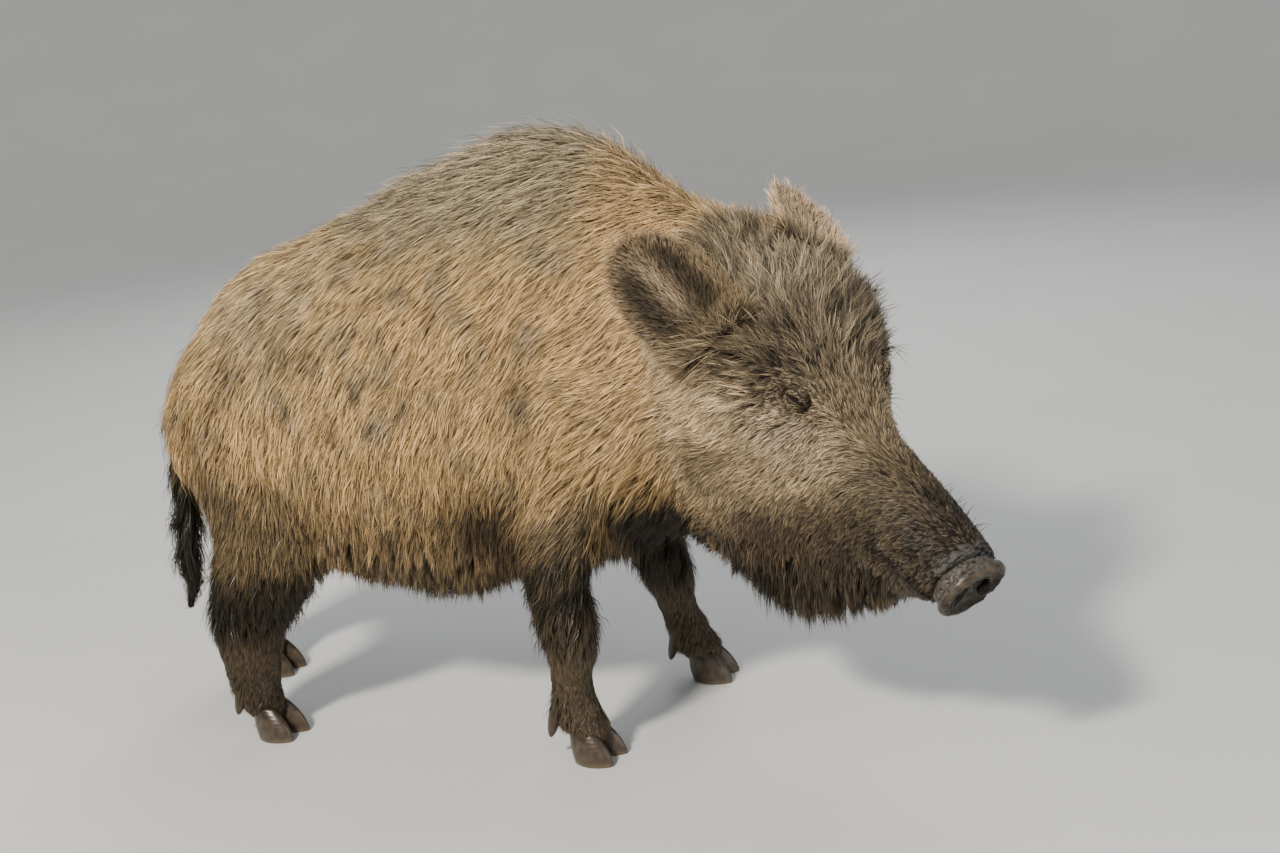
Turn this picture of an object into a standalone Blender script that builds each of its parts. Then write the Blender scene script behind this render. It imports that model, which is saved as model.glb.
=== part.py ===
"""A life-size wild boar sow in her winter coat, standing with the head lowered and turned to her right.

+X is forwards, +Y is her left and +Z is up, in metres. The origin lies on the floor, in the middle of
the box that holds her. The solids reach out to the tips of the coat. The body is lofted in one piece,
from rings along the trunk, neck, head, legs and tail, and is then parted with thin cuts.
"""

from math import cos, pi, radians, sin

import bmesh
import bpy
import numpy as np
from mathutils import Euler, Matrix, Vector

GAP = 0.0003  # between one piece and the next
MERGE = 0.00002  # points nearer than this become one

# Trunk, as upright rings: x, top, bottom, half width
TRUNK = (
    (-0.394, 0.452, 0.370, 0.040),
    (-0.375, 0.488, 0.320, 0.085),
    (-0.338, 0.530, 0.280, 0.132),
    (-0.268, 0.606, 0.246, 0.164),
    (-0.170, 0.648, 0.220, 0.178),
    (-0.060, 0.687, 0.190, 0.187),
    (0.040, 0.735, 0.186, 0.188),
    (0.130, 0.761, 0.213, 0.182),
    (0.210, 0.763, 0.226, 0.170),
    (0.290, 0.730, 0.250, 0.156),
    (0.360, 0.672, 0.295, 0.122),
)
TRUNK_WIDEST = 0.42  # share of the height at which a ring is widest
TRUNK_PEAR = 0.16  # how much narrower than an ellipse a ring is over the back

# Head, in its own frame: x forwards along the brow line from the poll, z up from it
POLL = Vector((0.442, -0.020, 0.647))
HEAD_YAW, HEAD_PITCH, HEAD_ROLL = radians(-28.0), radians(42.0), radians(4.0)
# x, top, widest height, bottom, half width
HEAD = (
    (-0.070, -0.085, -0.180, -0.290, 0.080),
    (0.020, -0.026, -0.172, -0.358, 0.134),
    (0.100, 0.000, -0.168, -0.394, 0.148),
    (0.170, -0.003, -0.164, -0.403, 0.140),
    (0.222, -0.036, -0.158, -0.394, 0.104),
    (0.275, -0.063, -0.150, -0.382, 0.075),
    (0.335, -0.061, -0.136, -0.346, 0.063),
    (0.400, -0.058, -0.120, -0.232, 0.053),
    (0.450, -0.057, -0.106, -0.160, 0.047),
    (0.480, -0.058, -0.101, -0.146, 0.043),
)
HEAD_PEAR = 0.10  # narrower than an ellipse towards the brow line
HEAD_SQUARE = 0.82  # below 1 the upper half is squarer than an ellipse

# Neck, from inside the shoulders to inside the head: x, y, z, half width, above, below
NECK = (
    (0.180, 0.000, 0.490, 0.160, 0.230, 0.230),
    (0.260, 0.002, 0.495, 0.158, 0.230, 0.225),
    (0.330, 0.006, 0.505, 0.153, 0.202, 0.205),
    (0.400, 0.000, 0.520, 0.150, 0.144, 0.178),
    (0.455, -0.010, 0.520, 0.128, 0.088, 0.150),
)

# Legs: x, y, z, half width across, reach to the front, reach to the back
FORELEG_RIGHT = (
    (0.235, -0.070, 0.520, 0.040, 0.045, 0.045),
    (0.220, -0.090, 0.430, 0.066, 0.082, 0.084),
    (0.197, -0.106, 0.330, 0.056, 0.074, 0.082),
    (0.196, -0.122, 0.250, 0.046, 0.052, 0.054),
    (0.200, -0.122, 0.190, 0.036, 0.038, 0.040),
    (0.202, -0.120, 0.145, 0.031, 0.032, 0.034),
    (0.196, -0.118, 0.105, 0.026, 0.027, 0.028),
    (0.198, -0.116, 0.066, 0.029, 0.030, 0.031),
    (0.213, -0.115, 0.038, 0.029, 0.026, 0.030),
    (0.224, -0.115, 0.014, 0.027, 0.024, 0.027),
)
FORELEG_LEFT = (
    (0.240, 0.070, 0.520, 0.040, 0.045, 0.045),
    (0.225, 0.090, 0.430, 0.066, 0.082, 0.084),
    (0.207, 0.106, 0.330, 0.056, 0.074, 0.082),
    (0.212, 0.124, 0.250, 0.046, 0.052, 0.054),
    (0.222, 0.132, 0.190, 0.036, 0.038, 0.040),
    (0.230, 0.138, 0.145, 0.031, 0.032, 0.034),
    (0.234, 0.146, 0.105, 0.026, 0.027, 0.028),
    (0.244, 0.153, 0.066, 0.029, 0.030, 0.031),
    (0.262, 0.158, 0.038, 0.029, 0.026, 0.030),
    (0.273, 0.160, 0.014, 0.027, 0.024, 0.027),
)
HINDLEG_RIGHT = (
    (-0.235, -0.060, 0.540, 0.040, 0.050, 0.045),
    (-0.238, -0.080, 0.460, 0.078, 0.098, 0.095),
    (-0.220, -0.100, 0.370, 0.072, 0.105, 0.105),
    (-0.218, -0.115, 0.280, 0.060, 0.096, 0.086),
    (-0.246, -0.120, 0.210, 0.046, 0.074, 0.056),
    (-0.264, -0.120, 0.160, 0.038, 0.058, 0.046),
    (-0.265, -0.119, 0.110, 0.033, 0.048, 0.044),
    (-0.262, -0.118, 0.068, 0.030, 0.038, 0.038),
    (-0.250, -0.117, 0.038, 0.028, 0.026, 0.030),
    (-0.240, -0.117, 0.014, 0.026, 0.024, 0.027),
)
HINDLEG_LEFT = (
    (-0.235, 0.060, 0.540, 0.040, 0.050, 0.045),
    (-0.248, 0.078, 0.460, 0.078, 0.098, 0.092),
    (-0.272, 0.092, 0.370, 0.072, 0.096, 0.090),
    (-0.318, 0.096, 0.280, 0.056, 0.080, 0.070),
    (-0.382, 0.095, 0.210, 0.042, 0.054, 0.048),
    (-0.408, 0.093, 0.160, 0.035, 0.042, 0.040),
    (-0.402, 0.092, 0.110, 0.030, 0.036, 0.036),
    (-0.398, 0.091, 0.068, 0.029, 0.032, 0.033),
    (-0.384, 0.090, 0.038, 0.028, 0.026, 0.030),
    (-0.374, 0.090, 0.014, 0.026, 0.024, 0.027),
)
TAIL = (
    (-0.352, 0.000, 0.505, 0.024, 0.022, 0.028),
    (-0.390, 0.000, 0.448, 0.021, 0.020, 0.024),
    (-0.413, 0.000, 0.370, 0.018, 0.018, 0.018),
    (-0.420, -0.001, 0.290, 0.019, 0.020, 0.020),
    (-0.424, -0.002, 0.220, 0.019, 0.020, 0.020),
    (-0.430, -0.003, 0.160, 0.013, 0.013, 0.013),
    (-0.436, -0.004, 0.120, 0.006, 0.006, 0.006),
)

RING_SIDES = 40
STEPS_BETWEEN = 5
BLEND_VOXEL = 0.007  # the rings' tubes are fused at this grain, and their joins smoothed
BLEND_PASSES = 11
BODY_SHARE = 0.036  # of the fused faces that the decimation keeps
FINE_FREEDOM, FREEDOM_WEIGHT = 0.5, 0.0002  # how far it spares the head, the lower legs and the tail
HEAD_FINE_FROM, LEGS_FINE_BELOW, TAIL_FINE_BEHIND = 0.020, 0.240, -0.405

# Where the body is parted
NECK_CUT = ((0.402, 0.000, 0.480), radians(-18.0), radians(8.0))  # a point on it, its yaw and its pitch
SHOULDER_CUT_X, LOIN_CUT_X = 0.285, -0.060
HIP_CUT_X = -0.235
JAW_CUT = (0.150, -0.172)  # in the head's frame: where the jaw starts, and the height of the mouth
JAW_TILT = radians(9.0)  # the mouth line climbs towards the ear
LEG_CUTS = {  # the box that holds each leg: low corner, high corner
    "foreleg_right": ((0.115, -0.260, -0.010), (0.300, -0.060, 0.207)),
    "foreleg_left": ((0.125, 0.060, -0.010), (0.330, 0.260, 0.207)),
    "hindleg_right": ((-0.430, -0.260, -0.010), (-0.120, -0.030, 0.2450)),
    "hindleg_left": ((-0.500, 0.020, -0.010), (-0.262, 0.260, 0.2400)),
}
TAIL_CUT = ((-0.600, -0.045, 0.050), (-0.398, 0.045, 0.480))

# Ears, in the head's frame: middle of the base, tip, and the way the open side faces
EARS = {
    "ear_right": ((0.119, -0.118, -0.046), (-0.002, -0.196, 0.012), (0.46, -0.63, 0.63)),
    "ear_left": ((0.052, 0.078, -0.034), (-0.048, 0.124, -0.042), (0.50, 0.10, 0.80)),
}
EAR_WIDEST, EAR_ROOT, EAR_THICK, EAR_CURL = 0.058, 0.050, 0.009, 0.015
EAR_SIDES, EAR_RINGS = 12, 8

# Eyes: where each looks out of the head (mirrored for the left), and which way
EYE_POINT = Vector((0.223, -0.076, -0.058))
EYE_LOOK = Vector((0.45, -0.78, 0.42)).normalized()
EYE_RADIUS, EYE_SUNK = 0.0125, 0.0150
HOLLOW_RADII = (0.030, 0.022, 0.012)  # the dip in the coat round each eye

# Snout disc, turned about its own axis, which bends away from the head's
DISC_CENTRE = Vector((0.487, 0.000, -0.102))
DISC_YAW, DISC_PITCH = radians(-8.0), radians(-4.0)
DISC_BACK = -0.020  # where it meets the muzzle
DISC_PROFILE = (  # from the middle of the face back to the muzzle: along the axis, radius
    (0.001, 0.0000),
    (0.001, 0.0445),
    (-0.005, 0.0455),
    (-0.012, 0.0410),
    (DISC_BACK, 0.0400),
    (DISC_BACK, 0.0000),
)
DISC_SIDES = 22
DISC_HEIGHT_SHARE = 0.90  # of its width
NOSTRIL_SPREAD, NOSTRIL_RADII, NOSTRIL_LEAN = 0.0175, (0.012, 0.0075, 0.0125), radians(24.0)

# Hooves: half the foot's claws are mirrored about its middle
HOOF_LENGTH, HOOF_WIDTH, HOOF_HEIGHT = 0.060, 0.028, 0.042
HOOF_LEVELS = ((0.0, 1.0, 0.0), (0.35, 0.96, -0.003), (1.0, 0.58, -0.014))
HOOF_SIDES = 12
DEWCLAW_PROFILE = ((0.038, 0.0), (0.038, 0.0025), (0.025, 0.0085), (0.008, 0.0100), (0.0, 0.0070), (0.0, 0.0))
DEWCLAW_SIDES, DEWCLAW_SQUASH = 6, 0.87
FEET = {  # middle of the claws, the way they point, and the splay of each from it
    "foreleg_right": (0.220, -0.1150, radians(-3.0), radians(10.0)),
    "foreleg_left": (0.272, 0.1590, radians(6.0), radians(10.0)),
    "hindleg_right": (-0.234, -0.1170, radians(-3.0), radians(7.0)),
    "hindleg_left": (-0.368, 0.0900, radians(4.0), radians(7.0)),
}
DEWCLAW_BACK, DEWCLAW_OUT, DEWCLAW_UP = 0.046, 0.018, 0.066
DEWCLAW_OUTWARD, DEWCLAW_DOWN = radians(14.0), radians(108.0)

COAT_TAN, COAT_DARK = (0.33, 0.24, 0.15), (0.10, 0.075, 0.052)
HORN, WET_SKIN, EYE_DARK = (0.085, 0.065, 0.05), (0.12, 0.09, 0.07), (0.012, 0.009, 0.007)


def clear_scene():
    for old in list(bpy.data.objects):
        bpy.data.objects.remove(old, do_unlink=True)


def collection(name):
    made = bpy.data.collections.new(name)
    bpy.context.scene.collection.children.link(made)
    return made


def material(name, colour, roughness):
    made = bpy.data.materials.new(name)
    made.use_nodes = True
    shader = made.node_tree.nodes["Principled BSDF"]
    shader.inputs["Base Color"].default_value = (*colour, 1.0)
    shader.inputs["Roughness"].default_value = roughness
    shader.inputs["Metallic"].default_value = 0.0
    return made


def smooth_rows(rows):
    """Rows filled in between the given ones by a Catmull-Rom curve through them."""
    given = np.array(rows, float)
    padded = np.vstack([2 * given[0] - given[1], given, 2 * given[-1] - given[-2]])
    out = []
    for i in range(len(given) - 1):
        a, b, c, d = padded[i : i + 4]
        for t in np.linspace(0, 1, STEPS_BETWEEN, endpoint=False):
            bend, turn = 2 * a - 5 * b + 4 * c - d, 3 * b - a - 3 * c + d
            out.append(0.5 * (2 * b + (c - a) * t + bend * t**2 + turn * t**3))
    return np.array(out + [given[-1]])


def add_rings(mesh, rings):
    """Joins rings of equal size into a tube with a fan over each end."""
    grid = [[mesh.verts.new(point) for point in ring] for ring in rings]
    count = len(grid[0])
    for near, far in zip(grid, grid[1:]):
        for i in range(count):
            j = (i + 1) % count
            mesh.faces.new((near[i], near[j], far[j], far[i]))
    for ring, turned in ((grid[0], True), (grid[-1], False)):
        centre = mesh.verts.new(sum((v.co for v in ring), Vector()) / count)
        for i in range(count):
            pair = (ring[i], ring[(i + 1) % count])
            mesh.faces.new((*(pair[::-1] if turned else pair), centre))


def add_trunk(mesh):
    """Upright rings: a half ellipse over the widest line and another below it, drawn in over the back."""
    rings = []
    for x, top, bottom, half in smooth_rows(TRUNK):
        middle = bottom + TRUNK_WIDEST * (top - bottom)
        ring = []
        for i in range(RING_SIDES):
            turn = 2 * pi * i / RING_SIDES
            rise = sin(turn)
            reach = (top - middle) if rise > 0 else (middle - bottom)
            ring.append((x, half * cos(turn) * (1 - TRUNK_PEAR * max(rise, 0)), middle + reach * rise))
        rings.append(ring)
    add_rings(mesh, rings)


def add_head(mesh, frame):
    rings = []
    for x, top, middle, bottom, half in smooth_rows(HEAD):
        ring = []
        for i in range(RING_SIDES):
            turn = 2 * pi * i / RING_SIDES
            rise = sin(turn)
            reach = (top - middle) if rise > 0 else (middle - bottom)
            wide = half * cos(turn) * (1 - HEAD_PEAR * max(rise, 0) ** 2)
            if rise > 0:
                rise, wide = rise**HEAD_SQUARE, wide * abs(cos(turn)) ** (HEAD_SQUARE - 1)
            ring.append(frame @ Vector((x, wide, middle + reach * rise)))
        rings.append(ring)
    add_rings(mesh, rings)


def add_limb(mesh, rows, front):
    """Rings square to the line of their centres; front is the side that the first reach points to."""
    full = smooth_rows(rows)
    along = np.gradient(full[:, :3], axis=0)
    rings = []
    for (x, y, z, half, ahead, behind), direction in zip(full, along):
        direction = Vector(direction).normalized()
        side = Vector(front).cross(direction).normalized()
        forward = direction.cross(side)
        ring = []
        for i in range(RING_SIDES):
            turn = 2 * pi * i / RING_SIDES
            reach = ahead if sin(turn) > 0 else behind
            ring.append(Vector((x, y, z)) + side * (half * cos(turn)) + forward * (reach * sin(turn)))
        rings.append(ring)
    add_rings(mesh, rings)


def whole_body(head_frame):
    shape = bmesh.new()
    add_trunk(shape)
    add_head(shape, head_frame)
    add_limb(shape, NECK, (0, 0, 1))
    for leg in (FORELEG_RIGHT, FORELEG_LEFT, HINDLEG_RIGHT, HINDLEG_LEFT, TAIL):
        add_limb(shape, leg, (1, 0, 0))
    bmesh.ops.recalc_face_normals(shape, faces=shape.faces[:])
    mesh = bpy.data.meshes.new("body_rings")
    shape.to_mesh(mesh)
    shape.free()
    return mesh


def applied(obj):
    """The object's mesh with its modifiers in it; the object itself goes."""
    bpy.context.view_layer.update()
    graph = bpy.context.evaluated_depsgraph_get()
    mesh = bpy.data.meshes.new_from_object(obj.evaluated_get(graph))
    bpy.data.objects.remove(obj, do_unlink=True)
    return mesh


def blended(rings, fine_region):
    """The tubes fused into one skin, smoothed at their joins, and thinned least in the fine region."""
    obj = bpy.data.objects.new("blend", rings)
    bpy.context.scene.collection.objects.link(obj)
    fuse = obj.modifiers.new("Fuse", "REMESH")
    fuse.mode = "VOXEL"
    fuse.voxel_size = BLEND_VOXEL
    even = obj.modifiers.new("Even", "SMOOTH")
    even.factor = 0.5
    even.iterations = BLEND_PASSES
    obj = bpy.data.objects.new("thinned", applied(obj))
    bpy.context.scene.collection.objects.link(obj)
    fine = [v.index for v in obj.data.vertices if fine_region(v.co)]
    plain = [v.index for v in obj.data.vertices if not fine_region(v.co)]
    freedom = obj.vertex_groups.new(name="freedom")
    freedom.add(plain, 1.0, "REPLACE")
    freedom.add(fine, FINE_FREEDOM, "REPLACE")
    thin = obj.modifiers.new("Thin", "DECIMATE")
    thin.ratio = BODY_SHARE
    thin.vertex_group = "freedom"
    thin.vertex_group_factor = FREEDOM_WEIGHT
    return applied(obj)


def frame_at(point, yaw=0.0, pitch=0.0, roll=0.0):
    """Axes turned by the yaw, then the pitch (nose down), then the roll."""
    turned = Euler((0.0, 0.0, yaw)).to_matrix() @ Euler((0.0, pitch, 0.0)).to_matrix()
    return Matrix.Translation(point) @ (turned @ Euler((roll, 0.0, 0.0)).to_matrix()).to_4x4()


class Workshop:
    """The collections, the empty that carries everything, and the ways to add an object."""

    def __init__(self):
        self.parts = collection("wild_boar")
        self.cutters = collection("cutters")
        self.root = bpy.data.objects.new("boar", None)
        self.parts.objects.link(self.root)

    def add(self, name, mesh, finish=None, cutter=False):
        obj = bpy.data.objects.new(name, mesh)
        (self.cutters if cutter else self.parts).objects.link(obj)
        obj.parent = self.root
        obj.hide_render = cutter
        if cutter:
            obj.display_type = "WIRE"
        if finish:
            mesh.materials.clear()
            mesh.materials.append(finish)
        return obj

    def box(self, name, low, high, frame=None, grow=0.0):
        shape = bmesh.new()
        bmesh.ops.create_cube(shape, size=1.0)
        low, high = (Vector(low) - Vector((grow,) * 3)), (Vector(high) + Vector((grow,) * 3))
        bmesh.ops.scale(shape, vec=high - low, verts=shape.verts)
        bmesh.ops.translate(shape, vec=(high + low) / 2, verts=shape.verts)
        if frame:
            bmesh.ops.transform(shape, matrix=frame, verts=shape.verts)
        mesh = bpy.data.meshes.new(name)
        shape.to_mesh(mesh)
        shape.free()
        return self.add(name, mesh, cutter=True)

    def swollen(self, name, mesh, by=GAP):
        """A cutter a little bigger all round than the mesh it is made from."""
        obj = self.add(name, mesh.copy(), cutter=True)
        push = obj.modifiers.new("Swell", "DISPLACE")
        push.strength = by
        push.mid_level = 0.0
        return obj


def shaped(obj, keep=(), remove=()):
    for operation, cutters in (("INTERSECT", keep), ("DIFFERENCE", remove)):
        for cutter in cutters:
            cut = obj.modifiers.new(f"{operation.title()} {cutter.name}", "BOOLEAN")
            cut.operation = operation
            cut.object = cutter
            cut.solver = "EXACT"
    return obj


def mesh_of(name, rings, frame=None):
    shape = bmesh.new()
    add_rings(shape, rings)
    bmesh.ops.recalc_face_normals(shape, faces=shape.faces[:])
    if frame:
        bmesh.ops.transform(shape, matrix=frame, verts=shape.verts)
    mesh = bpy.data.meshes.new(name)
    shape.to_mesh(mesh)
    shape.free()
    return mesh


def ear_mesh(name, base, tip, facing):
    """A leaf that curls towards its open side: rings along it are bent lenses."""
    base, tip, facing = Vector(base), Vector(tip), Vector(facing)
    along = (tip - base).normalized()
    facing = (facing - along * facing.dot(along)).normalized()
    across = facing.cross(along)
    length = (tip - base).length
    rings = []
    for step in range(EAR_RINGS):
        u = sin(0.5 * pi * step / (EAR_RINGS - 1))
        swell = EAR_ROOT + (EAR_WIDEST - EAR_ROOT) * sin(pi * u) ** 0.5
        width = max(swell * (1.0 - u**3.2) ** 0.5, 0.004)
        thick = EAR_THICK * (1.5 - 0.8 * u)
        curl = EAR_CURL * (1.0 - 0.5 * u) * (width / EAR_WIDEST) ** 2
        ring = []
        for i in range(EAR_SIDES):
            turn = 2 * pi * i / EAR_SIDES
            side = cos(turn)
            out = curl * (side * side - 0.5) + thick * sin(turn) * (0.35 + 0.65 * (1 - side * side))
            ring.append(base + along * (length * u) + across * (width * side) + facing * out)
        rings.append(ring)
    return mesh_of(name, rings)


def hoof_mesh(name, hand):
    """A claw on its flat sole: an egg-shaped outline, pointed in front and flatter towards the other claw."""
    rings = []
    for level, share, shift in HOOF_LEVELS:
        ring = []
        for i in range(HOOF_SIDES):
            turn = 2 * pi * i / HOOF_SIDES
            ahead = cos(turn)
            narrow = 1.0 - 0.32 * max(ahead, 0.0) ** 1.5
            side = sin(turn) * (0.42 if sin(turn) * hand < 0 else 0.58) * narrow
            ring.append((
                HOOF_LENGTH / 2 * ahead * share + shift,
                HOOF_WIDTH * side * share,
                HOOF_HEIGHT * level,
            ))
        rings.append(ring)
    return mesh_of(name, rings)


def turned_mesh(profile, sides, squash):
    """The profile (along x, radius) turned about the x axis, then flattened in z."""
    line = bpy.data.meshes.new("profile")
    steps = range(len(profile) - 1)
    line.from_pydata([(along, radius, 0.0) for along, radius in profile], [(i, i + 1) for i in steps], [])
    obj = bpy.data.objects.new("turned", line)
    bpy.context.scene.collection.objects.link(obj)
    turn = obj.modifiers.new("Turn", "SCREW")
    turn.axis = "X"
    turn.steps = turn.render_steps = sides
    turn.use_merge_vertices = True
    turn.merge_threshold = MERGE
    mesh = applied(obj)
    mesh.transform(Matrix.Diagonal((1.0, 1.0, squash, 1.0)))
    return mesh


def ball_mesh(name, radius, segments, rings, frame, radii=(1.0, 1.0, 1.0)):
    shape = bmesh.new()
    bmesh.ops.create_uvsphere(shape, u_segments=segments, v_segments=rings, radius=radius)
    bmesh.ops.scale(shape, vec=radii, verts=shape.verts)
    bmesh.ops.transform(shape, matrix=frame, verts=shape.verts)
    mesh = bpy.data.meshes.new(name)
    shape.to_mesh(mesh)
    shape.free()
    return mesh


def main():
    clear_scene()
    shop = Workshop()
    coat = material("winter_coat", COAT_TAN, 0.85)
    wet_coat = material("wet_coat", COAT_DARK, 0.55)
    horn = material("hoof_horn", HORN, 0.35)
    snout_skin = material("snout_skin", WET_SKIN, 0.4)
    cornea = material("cornea", EYE_DARK, 0.08)

    head_frame = frame_at(POLL, HEAD_YAW, HEAD_PITCH, HEAD_ROLL)
    to_head = head_frame.inverted()

    def is_fine(point):
        return (to_head @ point).x > HEAD_FINE_FROM or point.z < LEGS_FINE_BELOW or point.x < TAIL_FINE_BEHIND

    flesh = blended(whole_body(head_frame), is_fine)

    # Feet first, as the legs are cut to them
    legs = {}
    for leg, (x, y, heading, splay) in FEET.items():
        claws = []
        for hand, side in ((1, "outer" if y > 0 else "inner"), (-1, "inner" if y > 0 else "outer")):
            foot = frame_at((x, y, 0.0), heading)
            claw = hoof_mesh(f"hoof_{leg}_{side}", hand)
            toe = frame_at((0.0, hand * 0.0150, 0.0), hand * splay)
            claw.transform(foot @ toe)
            claws.append(shop.add(claw.name, claw, horn))
            spur = turned_mesh(DEWCLAW_PROFILE, DEWCLAW_SIDES, DEWCLAW_SQUASH)
            root = Matrix.Translation((-DEWCLAW_BACK, hand * DEWCLAW_OUT, DEWCLAW_UP))
            hang = Euler((hand * DEWCLAW_OUTWARD, DEWCLAW_DOWN, 0.0)).to_matrix().to_4x4()
            spur.transform(foot @ root @ hang)
            claws.append(shop.add(f"dewclaw_{leg}_{side}", spur, horn))
        legs[leg] = [shop.swollen(f"cut_{claw.name}", claw.data) for claw in claws]

    # The boxes that part the body
    far = 2.0
    point, yaw, pitch = NECK_CUT
    front = frame_at(point, yaw, pitch)
    head_box = shop.box("cut_head", (0, -far, -far), (far, far, far), front)
    behind_head = shop.box("cut_behind_head", (-GAP, -far, -far), (far, far, far), front)
    jaw_frame = head_frame @ frame_at((JAW_CUT[0], 0, JAW_CUT[1]), 0.0, -JAW_TILT)
    jaw_box = shop.box("cut_jaw", (0, -far, -far), (far, far, 0), jaw_frame)
    round_jaw = shop.box("cut_round_jaw", (-GAP, -far, -far), (far, far, GAP), jaw_frame)
    leg_boxes = {leg: shop.box(f"cut_{leg}", *corners) for leg, corners in LEG_CUTS.items()}
    round_legs = [shop.box(f"cut_round_{leg}", *corners, grow=GAP) for leg, corners in LEG_CUTS.items()]
    tail_box = shop.box("cut_tail", *TAIL_CUT)
    round_tail = shop.box("cut_round_tail", *TAIL_CUT, grow=GAP)

    # Snout disc and the plane that it meets the muzzle in
    disc_frame = head_frame @ frame_at(DISC_CENTRE, DISC_YAW, DISC_PITCH)
    face = turned_mesh(DISC_PROFILE, DISC_SIDES, DISC_HEIGHT_SHARE)
    face.transform(disc_frame)
    disc = shop.add("snout_disc", face, snout_skin)
    before_disc = shop.box("cut_disc", (DISC_BACK - GAP, -far, -far), (far, far, far), disc_frame)
    nostrils = []
    for hand in (1, -1):
        pit = disc_frame @ Matrix.Translation((0.002, hand * NOSTRIL_SPREAD, -0.002))
        pit = pit @ Euler((hand * NOSTRIL_LEAN, 0, 0)).to_matrix().to_4x4()
        ball = ball_mesh(f"cut_nostril_{hand}", 1.0, 12, 8, pit, NOSTRIL_RADII)
        nostrils.append(shop.add(ball.name, ball, cutter=True))
    shaped(disc, remove=nostrils)

    # Eyes
    sockets = []
    for side, hand in (("right", 1), ("left", -1)):
        mirror = Vector((1, hand, 1))
        look = EYE_LOOK * mirror
        centre = EYE_POINT * mirror - look * EYE_SUNK
        outwards = look.to_track_quat("Z", "Y").to_matrix().to_4x4()
        place = head_frame @ Matrix.Translation(centre) @ outwards
        shop.add(f"eye_{side}", ball_mesh(f"eye_{side}", EYE_RADIUS, 12, 8, place), cornea)
        socket = ball_mesh(f"cut_eye_{side}", EYE_RADIUS + 2 * GAP, 12, 8, place)
        sockets.append(shop.add(socket.name, socket, cutter=True))
        around = head_frame @ Matrix.Translation(EYE_POINT * mirror) @ outwards
        hollow = ball_mesh(f"cut_hollow_{side}", 1.0, 12, 6, around, HOLLOW_RADII)
        sockets.append(shop.add(hollow.name, hollow, cutter=True))

    # Ears, cut to the head
    swollen_flesh = shop.swollen("cut_flesh", flesh, 3 * GAP)
    for name, (base, tip, facing) in EARS.items():
        leaf = ear_mesh(name, base, tip, facing)
        leaf.transform(head_frame)
        shaped(shop.add(name, leaf, coat), remove=[swollen_flesh])

    # Head and jaw
    shaped(shop.add("head", flesh.copy(), coat), [head_box], [round_jaw, before_disc, *sockets])
    shaped(shop.add("lower_jaw", flesh.copy(), wet_coat), [head_box, jaw_box], [before_disc])

    # Neck, trunk and tail
    def trunk_piece(name, low_x, high_x, remove):
        slab = shop.box(f"cut_{name}", (low_x, -far, -far), (high_x, far, far))
        return shaped(shop.add(name, flesh.copy(), coat), [slab], [*remove, *round_legs])

    trunk_piece("neck", SHOULDER_CUT_X + GAP, far, [behind_head])
    trunk_piece("shoulders", LOIN_CUT_X + GAP, SHOULDER_CUT_X, [behind_head])
    trunk_piece("barrel", HIP_CUT_X + GAP, LOIN_CUT_X, [])
    trunk_piece("rump", -far, HIP_CUT_X, [round_tail])
    shaped(shop.add("tail", flesh.copy(), wet_coat), [tail_box])

    for leg, box in leg_boxes.items():
        shaped(shop.add(leg, flesh.copy(), wet_coat), [box], legs[leg])

    # The whole animal is moved so that the origin is under the middle of its box
    bpy.context.view_layer.update()
    graph = bpy.context.evaluated_depsgraph_get()
    corners = []
    for obj in shop.parts.objects:
        if obj.type == "MESH":
            shape = obj.evaluated_get(graph)
            corners += [shape.matrix_world @ Vector(corner) for corner in shape.bound_box]
    corners = np.array(corners)
    middle = (corners.min(0) + corners.max(0)) / 2
    shop.root.location = (-middle[0], -middle[1], 0.0)


main()
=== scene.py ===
"""A life-size wild boar sow in her winter coat, as a still model for a display.

The skin, the coat, the eyes and lids, the snout disc and the horn are each made in the order in which a
maker would put them on. +X is forwards, +Y her left and +Z up, in metres, with the floor at z = 0.
"""

import bmesh
import bpy
import numpy as np
from mathutils import Euler, Matrix, Vector
from mathutils.bvhtree import BVHTree


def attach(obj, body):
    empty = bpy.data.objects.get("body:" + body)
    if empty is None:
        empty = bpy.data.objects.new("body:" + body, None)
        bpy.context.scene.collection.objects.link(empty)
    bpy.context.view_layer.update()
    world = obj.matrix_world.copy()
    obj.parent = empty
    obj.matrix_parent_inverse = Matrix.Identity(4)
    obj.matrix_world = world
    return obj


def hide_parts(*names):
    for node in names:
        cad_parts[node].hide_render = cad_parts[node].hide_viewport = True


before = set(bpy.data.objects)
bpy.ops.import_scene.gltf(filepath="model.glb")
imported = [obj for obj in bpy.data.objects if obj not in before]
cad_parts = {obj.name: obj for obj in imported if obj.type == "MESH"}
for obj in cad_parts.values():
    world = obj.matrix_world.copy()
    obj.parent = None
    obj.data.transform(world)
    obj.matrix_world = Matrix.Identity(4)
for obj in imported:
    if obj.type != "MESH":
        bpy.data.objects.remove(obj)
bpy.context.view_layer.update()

# Camera
# It stands above her withers, a good two metres off before her right shoulder, and looks a little down
# on her flank and the near side of her turned head.
MIDLINE = 0.00402  # y of her plane of symmetry: one ear reaches further out, so it isn't her box's middle
camera_data = bpy.data.cameras.new("camera")
camera_data.lens, camera_data.sensor_width = 52.6, 36.0
camera = bpy.data.objects.new("camera", camera_data)
RIGHTWARDS = Vector((0.92210, 0.37461, -0.09692))
UPWARDS = Vector((-0.00227, 0.25569, 0.96676))
AHEAD = Vector((-0.38693, 0.89123, -0.23662))
STAND = Matrix.Translation((1.00327, MIDLINE - 2.03079, 0.92763))
camera.matrix_world = STAND @ Matrix((RIGHTWARDS, UPWARDS, -AHEAD)).transposed().to_4x4()
bpy.context.scene.collection.objects.link(camera)
bpy.context.scene.camera = camera


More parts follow.
